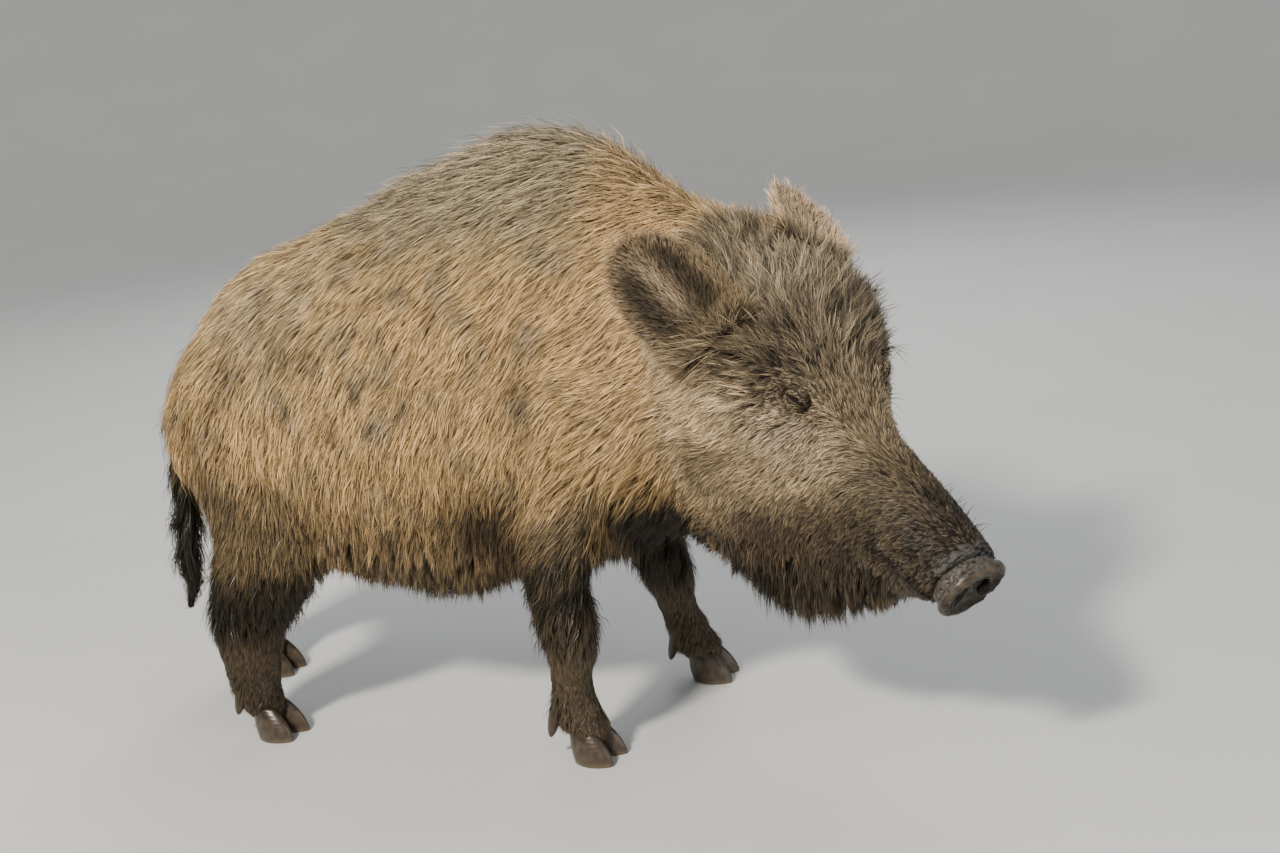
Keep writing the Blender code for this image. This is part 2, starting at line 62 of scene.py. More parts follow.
# Floor
# A pale matt studio floor that curves up far behind her, with no edge in sight. It is one round sheet
# of painted plaster, on which she stands with nothing to hold her.
def linear(code):
    """The linear colour of an sRGB hex value."""
    value = np.array([int(code[i:i + 2], 16) for i in (1, 3, 5)]) / 255.0
    return np.where(value <= 0.04045, value / 12.92, ((value + 0.055) / 1.055) ** 2.4)


def put_mesh(name, points, faces, smooth=True):
    """An object of the given points and of faces that all have the same number of corners."""
    points, faces = np.asarray(points, float), np.asarray(faces, int)
    mesh = bpy.data.meshes.new(name)
    mesh.vertices.add(len(points))
    mesh.vertices.foreach_set("co", points.astype(np.float32).ravel())
    mesh.loops.add(faces.size)
    mesh.loops.foreach_set("vertex_index", faces.astype(np.int32).ravel())
    mesh.polygons.add(len(faces))
    mesh.polygons.foreach_set("loop_start", np.arange(0, faces.size, faces.shape[1], dtype=np.int32))
    mesh.polygons.foreach_set("use_smooth", np.full(len(faces), smooth))
    mesh.update(calc_edges=True)
    mesh.validate()
    obj = bpy.data.objects.new(name, mesh)
    bpy.context.scene.collection.objects.link(obj)
    return obj


def grid_faces(rows, columns, closed=True):
    """Four-cornered faces of a grid of points; closed joins its last column to its first."""
    row, column = np.meshgrid(np.arange(rows - 1), np.arange(columns if closed else columns - 1), indexing="ij")
    after = (column + 1) % columns
    corners = (row * columns + column, row * columns + after, (row + 1) * columns + after,
               (row + 1) * columns + column)
    return np.stack(corners, -1).reshape(-1, 4)


def add_node(material, kind, settings=None, **links):
    """A shader node with its settings; a link is given as socket name = another node's output."""
    node = material.node_tree.nodes.new(kind)
    for key, value in (settings or {}).items():
        if isinstance(key, int) or key in node.inputs:
            node.inputs[key].default_value = value
        else:
            setattr(node, key, value)
    for key, output in links.items():
        material.node_tree.links.new(output, node.inputs[key.replace("_", " ")])
    return node


def new_material(name, settings):
    """A material whose shader has these fixed settings; returns it and its shader."""
    material = bpy.data.materials.new(name)
    material.use_nodes = True
    shader = material.node_tree.nodes["Principled BSDF"]
    for key, value in settings.items():
        shader.inputs[key].default_value = value
    return material, shader


def link(material, output, shader, socket):
    """Joins an output to a socket of the shader."""
    material.node_tree.links.new(output, shader.inputs[socket])


def rgba(code):
    """A hex colour as four linear values."""
    return (*linear(code), 1.0)


# painted plaster: dead matt, with a faint unevenness of the roller
plaster, shader = new_material("painted_plaster", {"Roughness": 0.9})
place = add_node(plaster, "ShaderNodeTexCoord")
blotch = add_node(plaster, "ShaderNodeTexNoise", {"Scale": 3.0, "Detail": 3.0}, Vector=place.outputs["Object"])
tone = add_node(plaster, "ShaderNodeMix", {"data_type": "RGBA"}, Factor=blotch.outputs[0])
tone.inputs[6].default_value, tone.inputs[7].default_value = rgba("#CFCFCB"), rgba("#D8D8D5")
link(plaster, tone.outputs[2], shader, "Base Color")
# rings about the middle: flat to FLAT_RADIUS, then height = SWEEP_HEIGHT x (share of the way out) squared
FLAT_RADIUS, SWEEP_RADIUS, SWEEP_HEIGHT = 5.0, 9.0, 3.0
FLOOR_RINGS, FLOOR_SIDES = 60, 96
reach = np.linspace(0.0, SWEEP_RADIUS, FLOOR_RINGS)[:, None]
around = np.linspace(0, 2 * np.pi, FLOOR_SIDES, endpoint=False)[None, :]
rise = SWEEP_HEIGHT * np.clip((reach - FLAT_RADIUS) / (SWEEP_RADIUS - FLAT_RADIUS), 0, 1) ** 2 + 0 * around
sweep = np.stack([reach * np.cos(around), reach * np.sin(around), rise], -1).reshape(-1, 3)
floor = put_mesh("floor", sweep, grid_faces(FLOOR_RINGS, FLOOR_SIDES)[:, ::-1])
floor.data.materials.append(plaster)

# Lights
# A warm key lamp high on her right, a weak cool fill before her, a soft one behind her and a pale dome.
# They are square panels that each face the middle of her.
world = bpy.data.worlds.new("dome")
world.use_nodes = True
world.node_tree.nodes["Background"].inputs["Color"].default_value = (0.93, 0.95, 1.0, 1.0)
world.node_tree.nodes["Background"].inputs["Strength"].default_value = 0.45
bpy.context.scene.world = world


def soft_lamp(name, spot, size, power, colour):
    """A square panel that faces the middle of her, with its side in metres and its power in watts."""
    data = bpy.data.lights.new(name, "AREA")
    data.size, data.energy, data.color = size, power, colour
    lamp = bpy.data.objects.new(name, data)
    lamp.location = spot
    lamp.rotation_euler = (Vector((0.0, 0.0, 0.35)) - Vector(spot)).to_track_quat("-Z", "Y").to_euler()
    bpy.context.scene.collection.objects.link(lamp)


soft_lamp("key", (-0.4, -3.2, 2.9), 0.5, 225.0, (1.0, 0.94, 0.84))
soft_lamp("fill", (3.2, -1.2, 1.4), 2.5, 28.0, (0.9, 0.95, 1.0))
soft_lamp("back", (-1.0, 3.0, 2.8), 2.0, 60.0, (0.95, 0.97, 1.0))

# Skin
# One skin over trunk, neck, head, legs, tail and ears: tough hide that carries the coat. It is drawn
# in from the outline of the coat by the coat's depth at each place, and creased where she folds.
FLESH = ("barrel", "rump", "shoulders", "neck", "head", "lower_jaw", "tail", "foreleg_right",
         "foreleg_left", "hindleg_right", "hindleg_left")
FINE = 0.0080  # metres between points over the trunk; head and legs have half of it, the muzzle a quarter
POLL = np.array((0.29572, MIDLINE - 0.02000, 0.647))
HEAD_TURN = np.array(Euler((np.radians(4.0), np.radians(42.0), np.radians(-28.0))).to_matrix())


def to_head(points):
    """Places in the head's own frame: x forwards along the brow from the poll, y left, z up."""
    return (points - POLL) @ HEAD_TURN


def from_head(points):
    """Places of the head's own frame in the whole animal's."""
    return np.asarray(points, float) @ HEAD_TURN.T + POLL


def bump_at(points, centre, radius):
    """1 at the centre, falling off all round as a bell of that radius (one number or one an axis)."""
    return np.exp(-0.5 * (((points - np.asarray(centre)) / np.asarray(radius)) ** 2).sum(-1))


def ramp(value, low, high):
    """0 below low, 1 above high, with a smooth step between; low may be the greater."""
    share = np.clip((value - low) / (high - low), 0.0, 1.0)
    return share * share * (3 - 2 * share)


def waves(points, size, seed):
    """A soft random field from about -1 to 1: ten sine waves of about that length in set directions."""
    dice = np.random.default_rng(seed)
    heading = dice.normal(size=(10, 3))
    heading *= (2 * np.pi / size * dice.uniform(0.6, 1.5, 10) / np.linalg.norm(heading, axis=1))[:, None]
    return np.sin(points @ heading.T + dice.uniform(0, 2 * np.pi, 10)).sum(-1) / 3.2


def unit(vectors):
    """Vectors brought to length 1."""
    return vectors / np.maximum(np.linalg.norm(vectors, axis=-1, keepdims=True), 1e-9)


def corner_normals(points, faces):
    """The outward normal at each point, as the mean of its faces' by area."""
    a, b, c = (points[faces[:, i]] for i in range(3))
    flat = np.cross(b - a, c - a)
    total = np.zeros_like(points)
    for axis in range(3):
        for i in range(faces.shape[1]):
            total[:, axis] += np.bincount(faces[:, i], flat[:, axis], len(points))
    return unit(total)


def evened(values, edges, rounds, share=0.5):
    """Each value drawn towards the mean of its neighbours' along the edges, a number of times."""
    values = np.array(values, float)
    flat = values.reshape(len(values), -1)
    count = np.maximum(np.bincount(edges.ravel(), minlength=len(flat)), 1)
    for _ in range(rounds):
        for axis in range(flat.shape[1]):
            line = flat[:, axis]
            near = (np.bincount(edges[:, 0], line[edges[:, 1]], len(line))
                    + np.bincount(edges[:, 1], line[edges[:, 0]], len(line)))
            flat[:, axis] = line + share * (near / count - line)
    return flat.reshape(values.shape)


def edges_of(faces):
    """Each edge of the triangles once."""
    edges = np.concatenate([faces[:, [0, 1]], faces[:, [1, 2]], faces[:, [2, 0]]])
    return np.unique(np.sort(edges, 1), axis=0)


def halved(quads):
    """The two triangles of each four-cornered face."""
    return np.concatenate([quads[:, [0, 1, 2]], quads[:, [0, 2, 3]]])


def placed(points):
    """Places in the head's frame, the same with y made positive, and x, y and z from her own plane."""
    in_head = to_head(points)
    return in_head, np.where((False, True, False), np.abs(in_head), in_head), (points - (0.0, MIDLINE, 0.0)).T


def mesh_of(obj):
    """The points and triangles of an object as arrays."""
    mesh = obj.data
    mesh.calc_loop_triangles()
    points = np.empty(len(mesh.vertices) * 3, np.float32)
    mesh.vertices.foreach_get("co", points)
    corners = np.empty(len(mesh.loop_triangles) * 3, np.int32)
    mesh.loop_triangles.foreach_get("vertices", corners)
    return points.reshape(-1, 3).astype(float), corners.reshape(-1, 3).astype(int)


# the solids' own surface, which says of each place which part of her it is
solid_points, solid_faces, solid_part, start = [], [], [], 0
for number, node in enumerate(FLESH):
    node_points, node_faces = mesh_of(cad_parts[node])
    solid_points.append(node_points)
    solid_faces.append(node_faces + start)
    solid_part.append(np.full(len(node_faces), number))
    start += len(node_points)
solid_points, solid_faces = np.concatenate(solid_points), np.concatenate(solid_faces)
solid_part = np.concatenate(solid_part)
solid_tree = BVHTree.FromPolygons(solid_points.tolist(), solid_faces.tolist())

# one closed hull of them all, then finer over the head and again over the muzzle
rough = put_mesh("rough", solid_points, solid_faces)
work = bmesh.new()
work.from_mesh(rough.data)
bmesh.ops.remove_doubles(work, verts=work.verts, dist=1e-5)
work.to_mesh(rough.data)
work.free()
remesh = rough.modifiers.new("one_hull", "REMESH")
remesh.mode, remesh.voxel_size = "VOXEL", FINE
bpy.context.view_layer.update()
hull = bpy.data.meshes.new_from_object(rough.evaluated_get(bpy.context.evaluated_depsgraph_get()))
bpy.data.objects.remove(rough)
work = bmesh.new()
work.from_mesh(hull)
for nearest, height in ((0.02, 0.20), (0.385, 0.0)):
    place = np.array([v.co for v in work.verts])
    in_head = to_head(place)
    inside = (in_head[:, 0] > nearest) & (in_head[:, 2] > -0.42) | (place[:, 2] < height)
    work.verts.ensure_lookup_table()
    chosen = [e for e in work.edges if inside[e.verts[0].index] and inside[e.verts[1].index]]
    bmesh.ops.subdivide_edges(work, edges=chosen, cuts=1, use_grid_fill=True)
    work.verts.index_update()
bmesh.ops.triangulate(work, faces=work.faces)
work.to_mesh(hull)
work.free()
skin = bpy.data.objects.new("skin", hull)
bpy.context.scene.collection.objects.link(skin)
P, F = mesh_of(skin)
E = edges_of(F)

# which part each point belongs to, with soft borders
near_part = np.array([solid_part[solid_tree.find_nearest(p)[2]] for p in P.tolist()])
BORDER_ROUNDS = 12
share = evened(np.eye(len(FLESH))[near_part], E, BORDER_ROUNDS)
PART = {node: share[:, number] for number, node in enumerate(FLESH)}
P = evened(P, E, 6)
in_head, in_half, (X, Y, Z) = placed(P)
HX, _, HZ = in_head.T
head_part = PART["head"] + PART["lower_jaw"]
leg_part = sum(PART[node] for node in FLESH[7:])
trunk_part = PART["barrel"] + PART["shoulders"] + PART["rump"]
low_leg = leg_part * ramp(Z, 0.185, 0.105)
normals = corner_normals(P, F)
under = ramp(-normals[:, 2], 0.15, 0.75)
muzzle = head_part * ramp(HX, 0.28, 0.40)
crown = head_part * ramp(HZ, -0.13, -0.05) * ramp(HX, 0.24, 0.17)
JAW_SLOPE = 0.88  # the line of the jaw in the head's frame
beard = head_part * ramp(HX, 0.440, 0.40) * ramp(HZ - JAW_SLOPE * HX, -0.490, -0.535)
mane = ramp(Z, 0.66, 0.72) * (trunk_part + PART["neck"])

# the coat's depth, and the skin drawn in by it in small steps
depth = (0.013 * trunk_part + 0.015 * PART["neck"] + 0.007 * head_part + 0.005 * leg_part
         + 0.005 * PART["tail"] + 0.004 * mane + 0.007 * crown - 0.005 * muzzle - 0.003 * low_leg
         + 0.008 * beard * ramp(HX, 0.41, 0.37) * under + 0.005 * under * trunk_part)
depth -= 0.0062 * head_part * bump_at(np.abs(in_head * (1, 1, -1)), (0.223, 0.076, 0.058), 0.028)
depth = evened(np.maximum(depth, 0.0012), E, 6)
STEPS = 5
for _ in range(STEPS):
    P = P - corner_normals(P, F) * (depth / STEPS)[:, None]
    P = evened(P, E, 1, 0.35)
in_head, in_half, _ = placed(P)
HX, _, HZ = in_head.T
normals = corner_normals(P, F)

# the mouth, as a groove with a soft lip on each side of it
MOUTH = np.array(((0.382, -0.058, -0.128), (0.405, -0.054, -0.121), (0.432, -0.049, -0.119),
                  (0.458, -0.041, -0.123), (0.476, -0.022, -0.130), (0.481, 0.0, -0.133)))


def line_distance(points, line):
    """The least distance from each point to a line of straight stretches."""
    best = np.full(len(points), 9.0)
    for a, b in zip(line[:-1], line[1:]):
        along = np.clip(((points - a) @ (b - a)) / ((b - a) @ (b - a)), 0, 1)
        best = np.minimum(best, np.linalg.norm(points - a - along[:, None] * (b - a), axis=1))
    return best


from_mouth = np.minimum(line_distance(in_head, MOUTH), line_distance(in_head * (1, -1, 1), MOUTH))
lift = -0.0060 * np.exp(-(from_mouth / 0.0030) ** 2) + 0.0022 * np.exp(-((from_mouth - 0.006) / 0.003) ** 2)

# bare hide behind the disc, in close wrinkles that run across it
bare = head_part * ramp(HX + 0.006 * waves(in_head, 0.02, 2), 0.440, 0.457) * ramp(HZ, -0.105, -0.080)
WRINKLE_PITCH = 0.0075
wrinkle = np.abs(np.sin(HX * np.pi / WRINKLE_PITCH + 1.6 * waves(in_head, 0.02, 3)))
wrinkle *= np.abs(np.sin(2.2 * waves(in_head, 0.016, 4)))
lift += bare * (0.0016 * wrinkle ** 0.5 - 0.0008)
# brow ridge over each eye and the hollow before it
lift += 0.004 * head_part * bump_at(in_half, (0.205, 0.080, -0.030), (0.022, 0.020, 0.010))
lift -= 0.004 * head_part * bump_at(in_half, (0.262, 0.066, -0.080), (0.020, 0.020, 0.014))
# soft unevenness of flesh under the coat
lift += 0.0022 * waves(P, 0.11, 5) * (trunk_part + PART["neck"]) + 0.0008 * waves(P, 0.03, 6) * (1 - muzzle)
P = P + normals * lift[:, None]

# Lids: folded hide that wraps the ball of each eye and leaves a slit, let into the skin round it
EYE_LOOK = unit(np.array((0.45, 0.78, 0.42)))
SLIT = unit(np.array((1.0, 0.0, 0.15)) - EYE_LOOK * (np.array((1.0, 0.0, 0.15)) @ EYE_LOOK))
EYE_CENTRE = np.array((0.223, 0.076, -0.058)) - 0.0192 * EYE_LOOK - 0.0035 * SLIT
EYE_RADIUS = 0.0125
LID_UP = -np.cross(EYE_LOOK, SLIT)
LID_RINGS, LID_SIDES = 26, 72
SLIT_LONG, SLIT_HIGH, LID_LONG, LID_HIGH = 0.0110, 0.0012, 0.0340, 0.0240  # half axes
body_tree = BVHTree.FromPolygons(P.tolist(), F.tolist())


def lid_ring(from_eye):
    """How far out from an eye a place lies, as a share of the lids' outer ellipse."""
    return np.hypot(from_eye @ SLIT / LID_LONG, from_eye @ LID_UP / LID_HIGH)


def lid_points(hand):
    """Rings that widen from the slit to the lids' outer ellipse, arched over the slit. Their height along
    the way the eye looks is the softened greater of the lid's over the ball and the skin's, plus folds."""
    mirror = np.array((1.0, hand, 1.0))
    look, slit, upwards, centre = EYE_LOOK * mirror, SLIT * mirror, LID_UP * mirror, EYE_CENTRE * mirror
    r = np.linspace(-0.06, 1, LID_RINGS)[:, None]
    turn = np.linspace(0, 2 * np.pi, LID_SIDES, endpoint=False)[None, :]
    open_r = np.clip(r, 0, 1)
    x = (SLIT_LONG + (LID_LONG - SLIT_LONG) * open_r) * np.cos(turn)
    y = (SLIT_HIGH + (LID_HIGH - SLIT_HIGH) * open_r) * np.sin(turn)
    y = y + (0.0032 * np.sin(turn) ** 2 - 0.0012) * (1 - open_r) ** 2
    x, y = x * np.where(r < 0, 0.9, 1.0), y * np.where(r < 0, 0.6, 1.0)
    flat = centre + slit * x[..., None] + upwards * y[..., None]
    start, ray = from_head(flat + look * 0.05), -(from_head(look) - POLL)
    drop = [[body_tree.ray_cast(Vector(p), Vector(ray))[3] or 0.06 for p in row] for row in start.tolist()]
    on_skin = 0.05 - np.array(drop)
    lid_radius = EYE_RADIUS + 0.0013
    aside = x ** 2 + y ** 2
    ball = np.sqrt(np.maximum(lid_radius ** 2 - aside, 1e-8)) - 0.03 * (aside > lid_radius ** 2)
    soft = 0.0018
    dish = on_skin - 0.0030 * np.exp(-(open_r / 0.50) ** 2) + 0.0004
    z = soft * np.log(np.exp(ball / soft) + np.exp(dish / soft)) - 0.0010 * np.exp(-(open_r / 0.5) ** 2)
    window = np.sin(np.pi * np.clip((open_r - 0.02) / 0.80, 0, 1))
    upper = np.clip(np.sin(turn), 0, 1)
    folds = np.sin(2 * np.pi * 4.0 * open_r + 0.8 * np.sin(2 * turn))
    z = z + window * (0.0007 * folds * (0.15 + 0.85 * upper))
    z = z + 0.0016 * upper * np.exp(-((open_r - 0.36) / 0.12) ** 2) + 0.0008 * np.exp(-(open_r / 0.07) ** 2)
    z = np.where(r < 0, np.sqrt(np.maximum((EYE_RADIUS - 0.0006) ** 2 - aside, 0)), z)
    z = np.where(open_r >= 0.999, on_skin - 0.0015, z)
    return from_head((flat + look * z[..., None]).reshape(-1, 3)), (open_r + 0 * turn).ravel()


# Ears: a leaf of gristle with hide on both sides, a cup towards its open side and a rounded tip
EARS = {
    "right": ((0.117, -0.119, -0.051), (0.002, -0.192, 0.006), (0.46, -0.63, 0.63)),
    "left": ((0.050, 0.073, -0.035), (-0.042, 0.116, -0.041), (0.50, 0.10, 0.80)),
}
EAR_RINGS, EAR_SIDES = 34, 44


def ear_points(base, tip, facing):
    """Along the leaf, rings that are bent lenses: across = half width x cos, out = cup x (cos squared - 1/2)
    plus thickness x sin; the half width swells from the root and closes to a rounded tip."""
    base, tip = np.array(base), np.array(tip)
    along = unit(tip - base)
    out = unit(np.array(facing) - along * (along @ np.array(facing)))
    across = np.cross(out, along)
    u = np.sin(0.5 * np.pi * np.linspace(0, 1, EAR_RINGS))[:, None]
    turn = np.linspace(0, 2 * np.pi, EAR_SIDES, endpoint=False)[None, :]
    width = 0.93 * np.maximum((0.050 + 0.008 * np.sin(np.pi * u) ** 0.5) * np.sqrt(1 - u ** 4.0), 0.002)
    side = np.cos(turn)
    cup = 0.015 * (1 - 0.5 * u) * (width / 0.050) ** 2
    ridge = 0.005 * np.exp(-((side - 0.10) / 0.14) ** 2) * np.sin(np.pi * u) * (np.sin(turn) > 0)
    lens = 0.0028 * np.sin(turn) * (0.5 + 0.5 * (1 - side * side)) * (1.6 - u)
    offset = cup * (side * side - 0.5) + ridge + lens
    length = np.linalg.norm(tip - base)
    local = (base + along * (length * u)[..., None] + across * (width * side)[..., None]
             + out * offset[..., None])
    return (from_head(local.reshape(-1, 3)), from_head(along) - POLL, from_head(across) - POLL,
            (u + 0 * turn).ravel(), (side + 0 * u).ravel(), (np.sin(turn) + 0 * u).ravel())


def sealed(rows, columns):
    """Triangles of a tube of so many rings and points to a ring, each end closed by a fan."""
    ring = np.arange(1, columns - 1)
    head = np.stack([0 * ring, ring, ring + 1], 1) + (rows - 1) * columns
    foot = np.stack([0 * ring, ring + 1, ring], 1)
    return np.concatenate([halved(grid_faces(rows, columns)), head, foot])


body_size = len(P)
lids = {hand: lid_points(hand) for hand in (-1, 1)}
# the skin that lies under the lids is let in, so that only they show there
LET_IN = 0.013
from_eye = in_half - EYE_CENTRE
let_in = LET_IN * head_part * ramp(lid_ring(from_eye), 0.93, 0.68) * ramp(from_eye @ EYE_LOOK, -0.02, 0.0)
P = P - normals * let_in[:, None]
lid_open = [np.full(body_size, 9.0)]
for hand, (lid, r) in lids.items():
    tris = halved(grid_faces(LID_RINGS, LID_SIDES))
    if (corner_normals(lid, tris) @ (HEAD_TURN @ (EYE_LOOK * (1, hand, 1)))).mean() < 0:
        tris = tris[:, ::-1]
    P, F = np.concatenate([P, lid]), np.concatenate([F, tris + len(P)])
    lid_open.append(r)
ear_rows = [np.zeros((len(P), 7))]
for base, tip, facing in EARS.values():
    ear, along, across, u, edge, front = ear_points(base, tip, facing)
    tris = sealed(EAR_RINGS, EAR_SIDES)
    if np.einsum("ij,ij->i", corner_normals(ear, tris), ear - ear.mean(0)).mean() < 0:
        tris = tris[:, ::-1]
    P, F = np.concatenate([P, ear]), np.concatenate([F, tris + len(P)])
    fan = along[None, :] * (0.55 + 0.45 * u[:, None]) + across[None, :] * (edge * 0.75)[:, None]
    rim = np.maximum(np.abs(edge) ** 6, ramp(u, 0.86, 0.98))
    ear_rows.append(np.column_stack([np.where(front > 0, 1.0, 0.5), rim, edge, u, unit(fan)]))
ear_rows = np.concatenate(ear_rows)
ear_part, ear_rim, ear_side, ear_up = ear_rows[:, :4].T
is_ear = (ear_part > 0).astype(float)


def extended(values, rest=0.0):
    """A value of the first points of the skin, with one more for each that has been added."""
    return np.concatenate([values, np.full(len(P) - len(values), rest)])


lid_open = extended(np.concatenate(lid_open), 9.0)
lid_bald = ramp(lid_open, 0.17, 0.06)
lid_part = extended(np.zeros(body_size), 1.0) * (1 - is_ear)
PART = {node: extended(values) for node, values in PART.items()}
head_part = extended(head_part) + lid_part
leg_part, trunk_part, low_leg, muzzle, crown, beard, mane, bare, under, wrinkle = map(
    extended, (leg_part, trunk_part, low_leg, muzzle, crown, beard, mane, bare, under, wrinkle))
from_mouth = extended(from_mouth, 1.0)
E = edges_of(F)
N = corner_normals(P, F)
in_head, in_half, (X, Y, Z) = placed(P)
HX, _, HZ = in_head.T

# Markings: the colour of the hide and of the hair that grows from it, with some painted shade and painted light
# laid in where a line says so.
# Each line lays one colour over what came before, and the left side has the same as the right except where a
# line says otherwise.
marking = np.tile(linear("#C2A270"), (len(P), 1))


def paint(colour, cover):
    """Lays a colour over the marking, as strongly as cover says at each point."""
    cover = np.clip(cover, 0, 1)[:, None]
    marking[:] = marking * (1 - cover) + linear(colour) * cover


def paint_face(colour, place, radii, strength=1.0):
    """Lays a soft patch of colour on both sides of the head, at a place in the head's frame."""
    paint(colour, head_part * bump_at(in_half, place, radii) * strength)


drift = waves(P, 0.05, 7) * 0.5 + waves(P, 0.018, 8) * 0.5
above_jaw = HZ - JAW_SLOPE * HX + 0.01 * drift
sides = np.stack([X, -np.abs(Y), Z], 1)
rear = trunk_part * ramp(X, 0.02, -0.10)
paint("#8C7F6C", trunk_part * ramp(waves(P, 0.07, 16), 0.1, 1.1) * 0.6)
paint("#938A75", trunk_part * ramp(Z, 0.58, 0.68) * ramp(X, -0.30, -0.20) * 0.7)
paint("#574F44", rear * ramp(Z, 0.40, 0.46) * ramp(waves(P * (1, 1, 0.6), 0.030, 17), 0.85, 1.35) * 0.9)
# painted shade in the hair's parting at the shoulder, on both sides
paint("#62533C", trunk_part * bump_at(sides, (0.056, -0.165, 0.464), (0.014, 0.05, 0.045)) * 0.7)
paint("#A89A80", mane * 0.9)
paint("#C9B797", trunk_part * bump_at(sides, (-0.33, -0.10, 0.575), (0.08, 0.08, 0.06)) * 0.6)
paint("#887253", trunk_part * ramp(Z, 0.42, 0.28) * 0.8)
paint("#594C39", trunk_part * ramp(Z + 0.02 * drift, 0.300, 0.238))
paint("#473924", trunk_part * bump_at(sides, (-0.020, -0.150, 0.300), (0.040, 0.06, 0.045)) * 1.3)
paint("#6A593F", (trunk_part + leg_part) * ramp(X, -0.24, -0.30) * ramp(Z + 0.02 * drift, 0.41, 0.33))
paint("#CFAF83", PART["neck"] * ramp(Z, 0.36, 0.42) * 0.8)
BLOTCHES = (((-0.307, -0.11, 0.578), 0.013), ((-0.356, -0.14, 0.498), 0.018), ((-0.271, -0.14, 0.528), 0.013),
            ((-0.232, -0.15, 0.529), 0.012), ((-0.401, -0.16, 0.375), 0.020), ((-0.422, -0.16, 0.43), 0.012))
for spot, size in BLOTCHES:
    paint("#5C4E3A", 0.7 * bump_at(sides, spot, (size, 0.06, size * 1.3)) * (1 + 0.6 * drift))
paint("#2A210D", leg_part * ramp(Z + 0.03 * drift, 0.31, 0.25))
paint("#221B09", leg_part * ramp(Z + 0.03 * drift, 0.25, 0.18) * 0.8)
paint("#100D04", leg_part * ramp(X, 0.0, 0.03) * ramp(Z, 0.29, 0.24) * ramp(Z, 0.20, 0.23) * 0.9)
paint("#574A34", leg_part * ramp(Z, 0.215, 0.18) * ramp(X, 0.0, 0.03) * 0.7)
paint("#63543F", low_leg * 0.85)
paint("#4A3E2C", low_leg * ramp(X, 0.0, -0.03) * 0.7)
# painted shade: the upper left foreleg is laid darker, as in the shadow of her body; the right has no such
# patch
paint("#1C160A", leg_part * ramp(Y, 0.03, 0.06) * ramp(X, 0.0, 0.03) * ramp(Z, 0.15, 0.21) * 0.7)
paint("#2B261A", PART["tail"] * ramp(Z, 0.46, 0.40))
paint("#5C4D37", PART["shoulders"] * ramp(Z + 0.02 * drift, 0.345, 0.300) * ramp(X, 0.0, 0.04) * 0.6)
paint("#231D11", PART["shoulders"] * ramp(Z + 0.03 * drift, 0.290, 0.240) * ramp(X, 0.0, 0.04))
chest = (PART["neck"] + PART["shoulders"]) * ramp(X, 0.105, 0.135)
paint("#282012", chest * ramp(Z + 0.01 * drift, 0.372, 0.322))
paint("#A99372", head_part)
paint("#AB987B", crown)
paint_face("#5C4F3E", (0.165, 0.09, -0.035), (0.040, 0.05, 0.030))
paint_face("#DDC095", (0.17, 0.12, -0.13), (0.070, 0.05, 0.045))
paint_face("#C0AA8C", (0.235, 0.09, -0.095), (0.035, 0.04, 0.025))
paint("#4F4130", head_part * ramp(above_jaw, -0.385, -0.455) * ramp(HX, 0.06, 0.12) * 0.9)
paint_face("#544632", (0.19, 0.12, -0.172), (0.018, 0.05, 0.026), 0.6)
paint("#3A3224", head_part * ramp(above_jaw, -0.505, -0.535))
paint("#5E503A", head_part * ramp(HX, 0.27, 0.35) * 0.85)
paint("#675944", head_part * ramp(HX, 0.37, 0.42))
paint("#483D2A", crown * ramp(waves(P, 0.035, 9), 0.05, 0.7) * 0.7)
paint_face("#362C1E", (0.425, 0.05, -0.085), (0.022, 0.03, 0.016), 0.8)
paint_face("#2B2218", (0.430, 0.010, -0.060), (0.026, 0.026, 0.020), 0.5)
paint_face("#241B12", (0.386, 0.056, -0.128), (0.014, 0.02, 0.009), 0.8)
paint_face("#CFB287", (0.187, 0.11, -0.262), (0.030, 0.04, 0.020), 0.75)
cheek_edge = np.array(((0.158, 0.139, -0.145), (0.164, 0.138, -0.165), (0.185, 0.124, -0.220)))
paint("#55462F", head_part * np.exp(-(line_distance(in_half, cheek_edge) / 0.007) ** 2) * 0.65)
paint("#1E170F", np.exp(-(from_mouth / 0.009) ** 2))
paint("#53504F", bare)
# painted shade in the grooves of the wrinkles
paint("#1A1817", bare * ramp(wrinkle, 0.30, 0.05))
paint("#2E2418", muzzle * (1 - bare) * ramp(waves(P, 0.035, 15), 0.1, 0.9) * 0.8)
from_eye = in_half - EYE_CENTRE
eye_r = lid_ring(from_eye) + 9 * (1 - ramp(head_part, 0.2, 0.6))
forwards, upwards = from_eye @ SLIT, from_eye @ LID_UP
tear = np.exp(-((upwards + 0.55 * (forwards - 0.010) + 0.001) / 0.0026) ** 2)
tear *= ramp(forwards, 0.005, 0.012) * ramp(forwards, 0.036, 0.024) * (eye_r < 2)
paint("#6A5C4B", ramp(eye_r, 0.80, 0.40) * 0.5)
paint("#54493D", lid_bald)
# painted shade in the fold of each upper lid
paint("#2A211A", lid_part * np.exp(-((lid_open - 0.30) / 0.05) ** 2) * ramp(upwards, 0.0, 0.004) * 0.5)
paint_face("#33291E", (0.197, 0.088, -0.061), 0.008, 0.8)
# near black at the edge of the slit: partly the dark lid margin, partly painted shade cast by the lashes
paint("#17110C", ramp(lid_open, 0.10, 0.05))
paint("#2E251B", tear * 0.8)
paint("#A18A6B", is_ear)
# the left ear is laid far paler than the right: partly the pale hair of its inner edges, partly painted
# sunlight on its open side
paint("#F3D4AC", is_ear * (Y > 0))
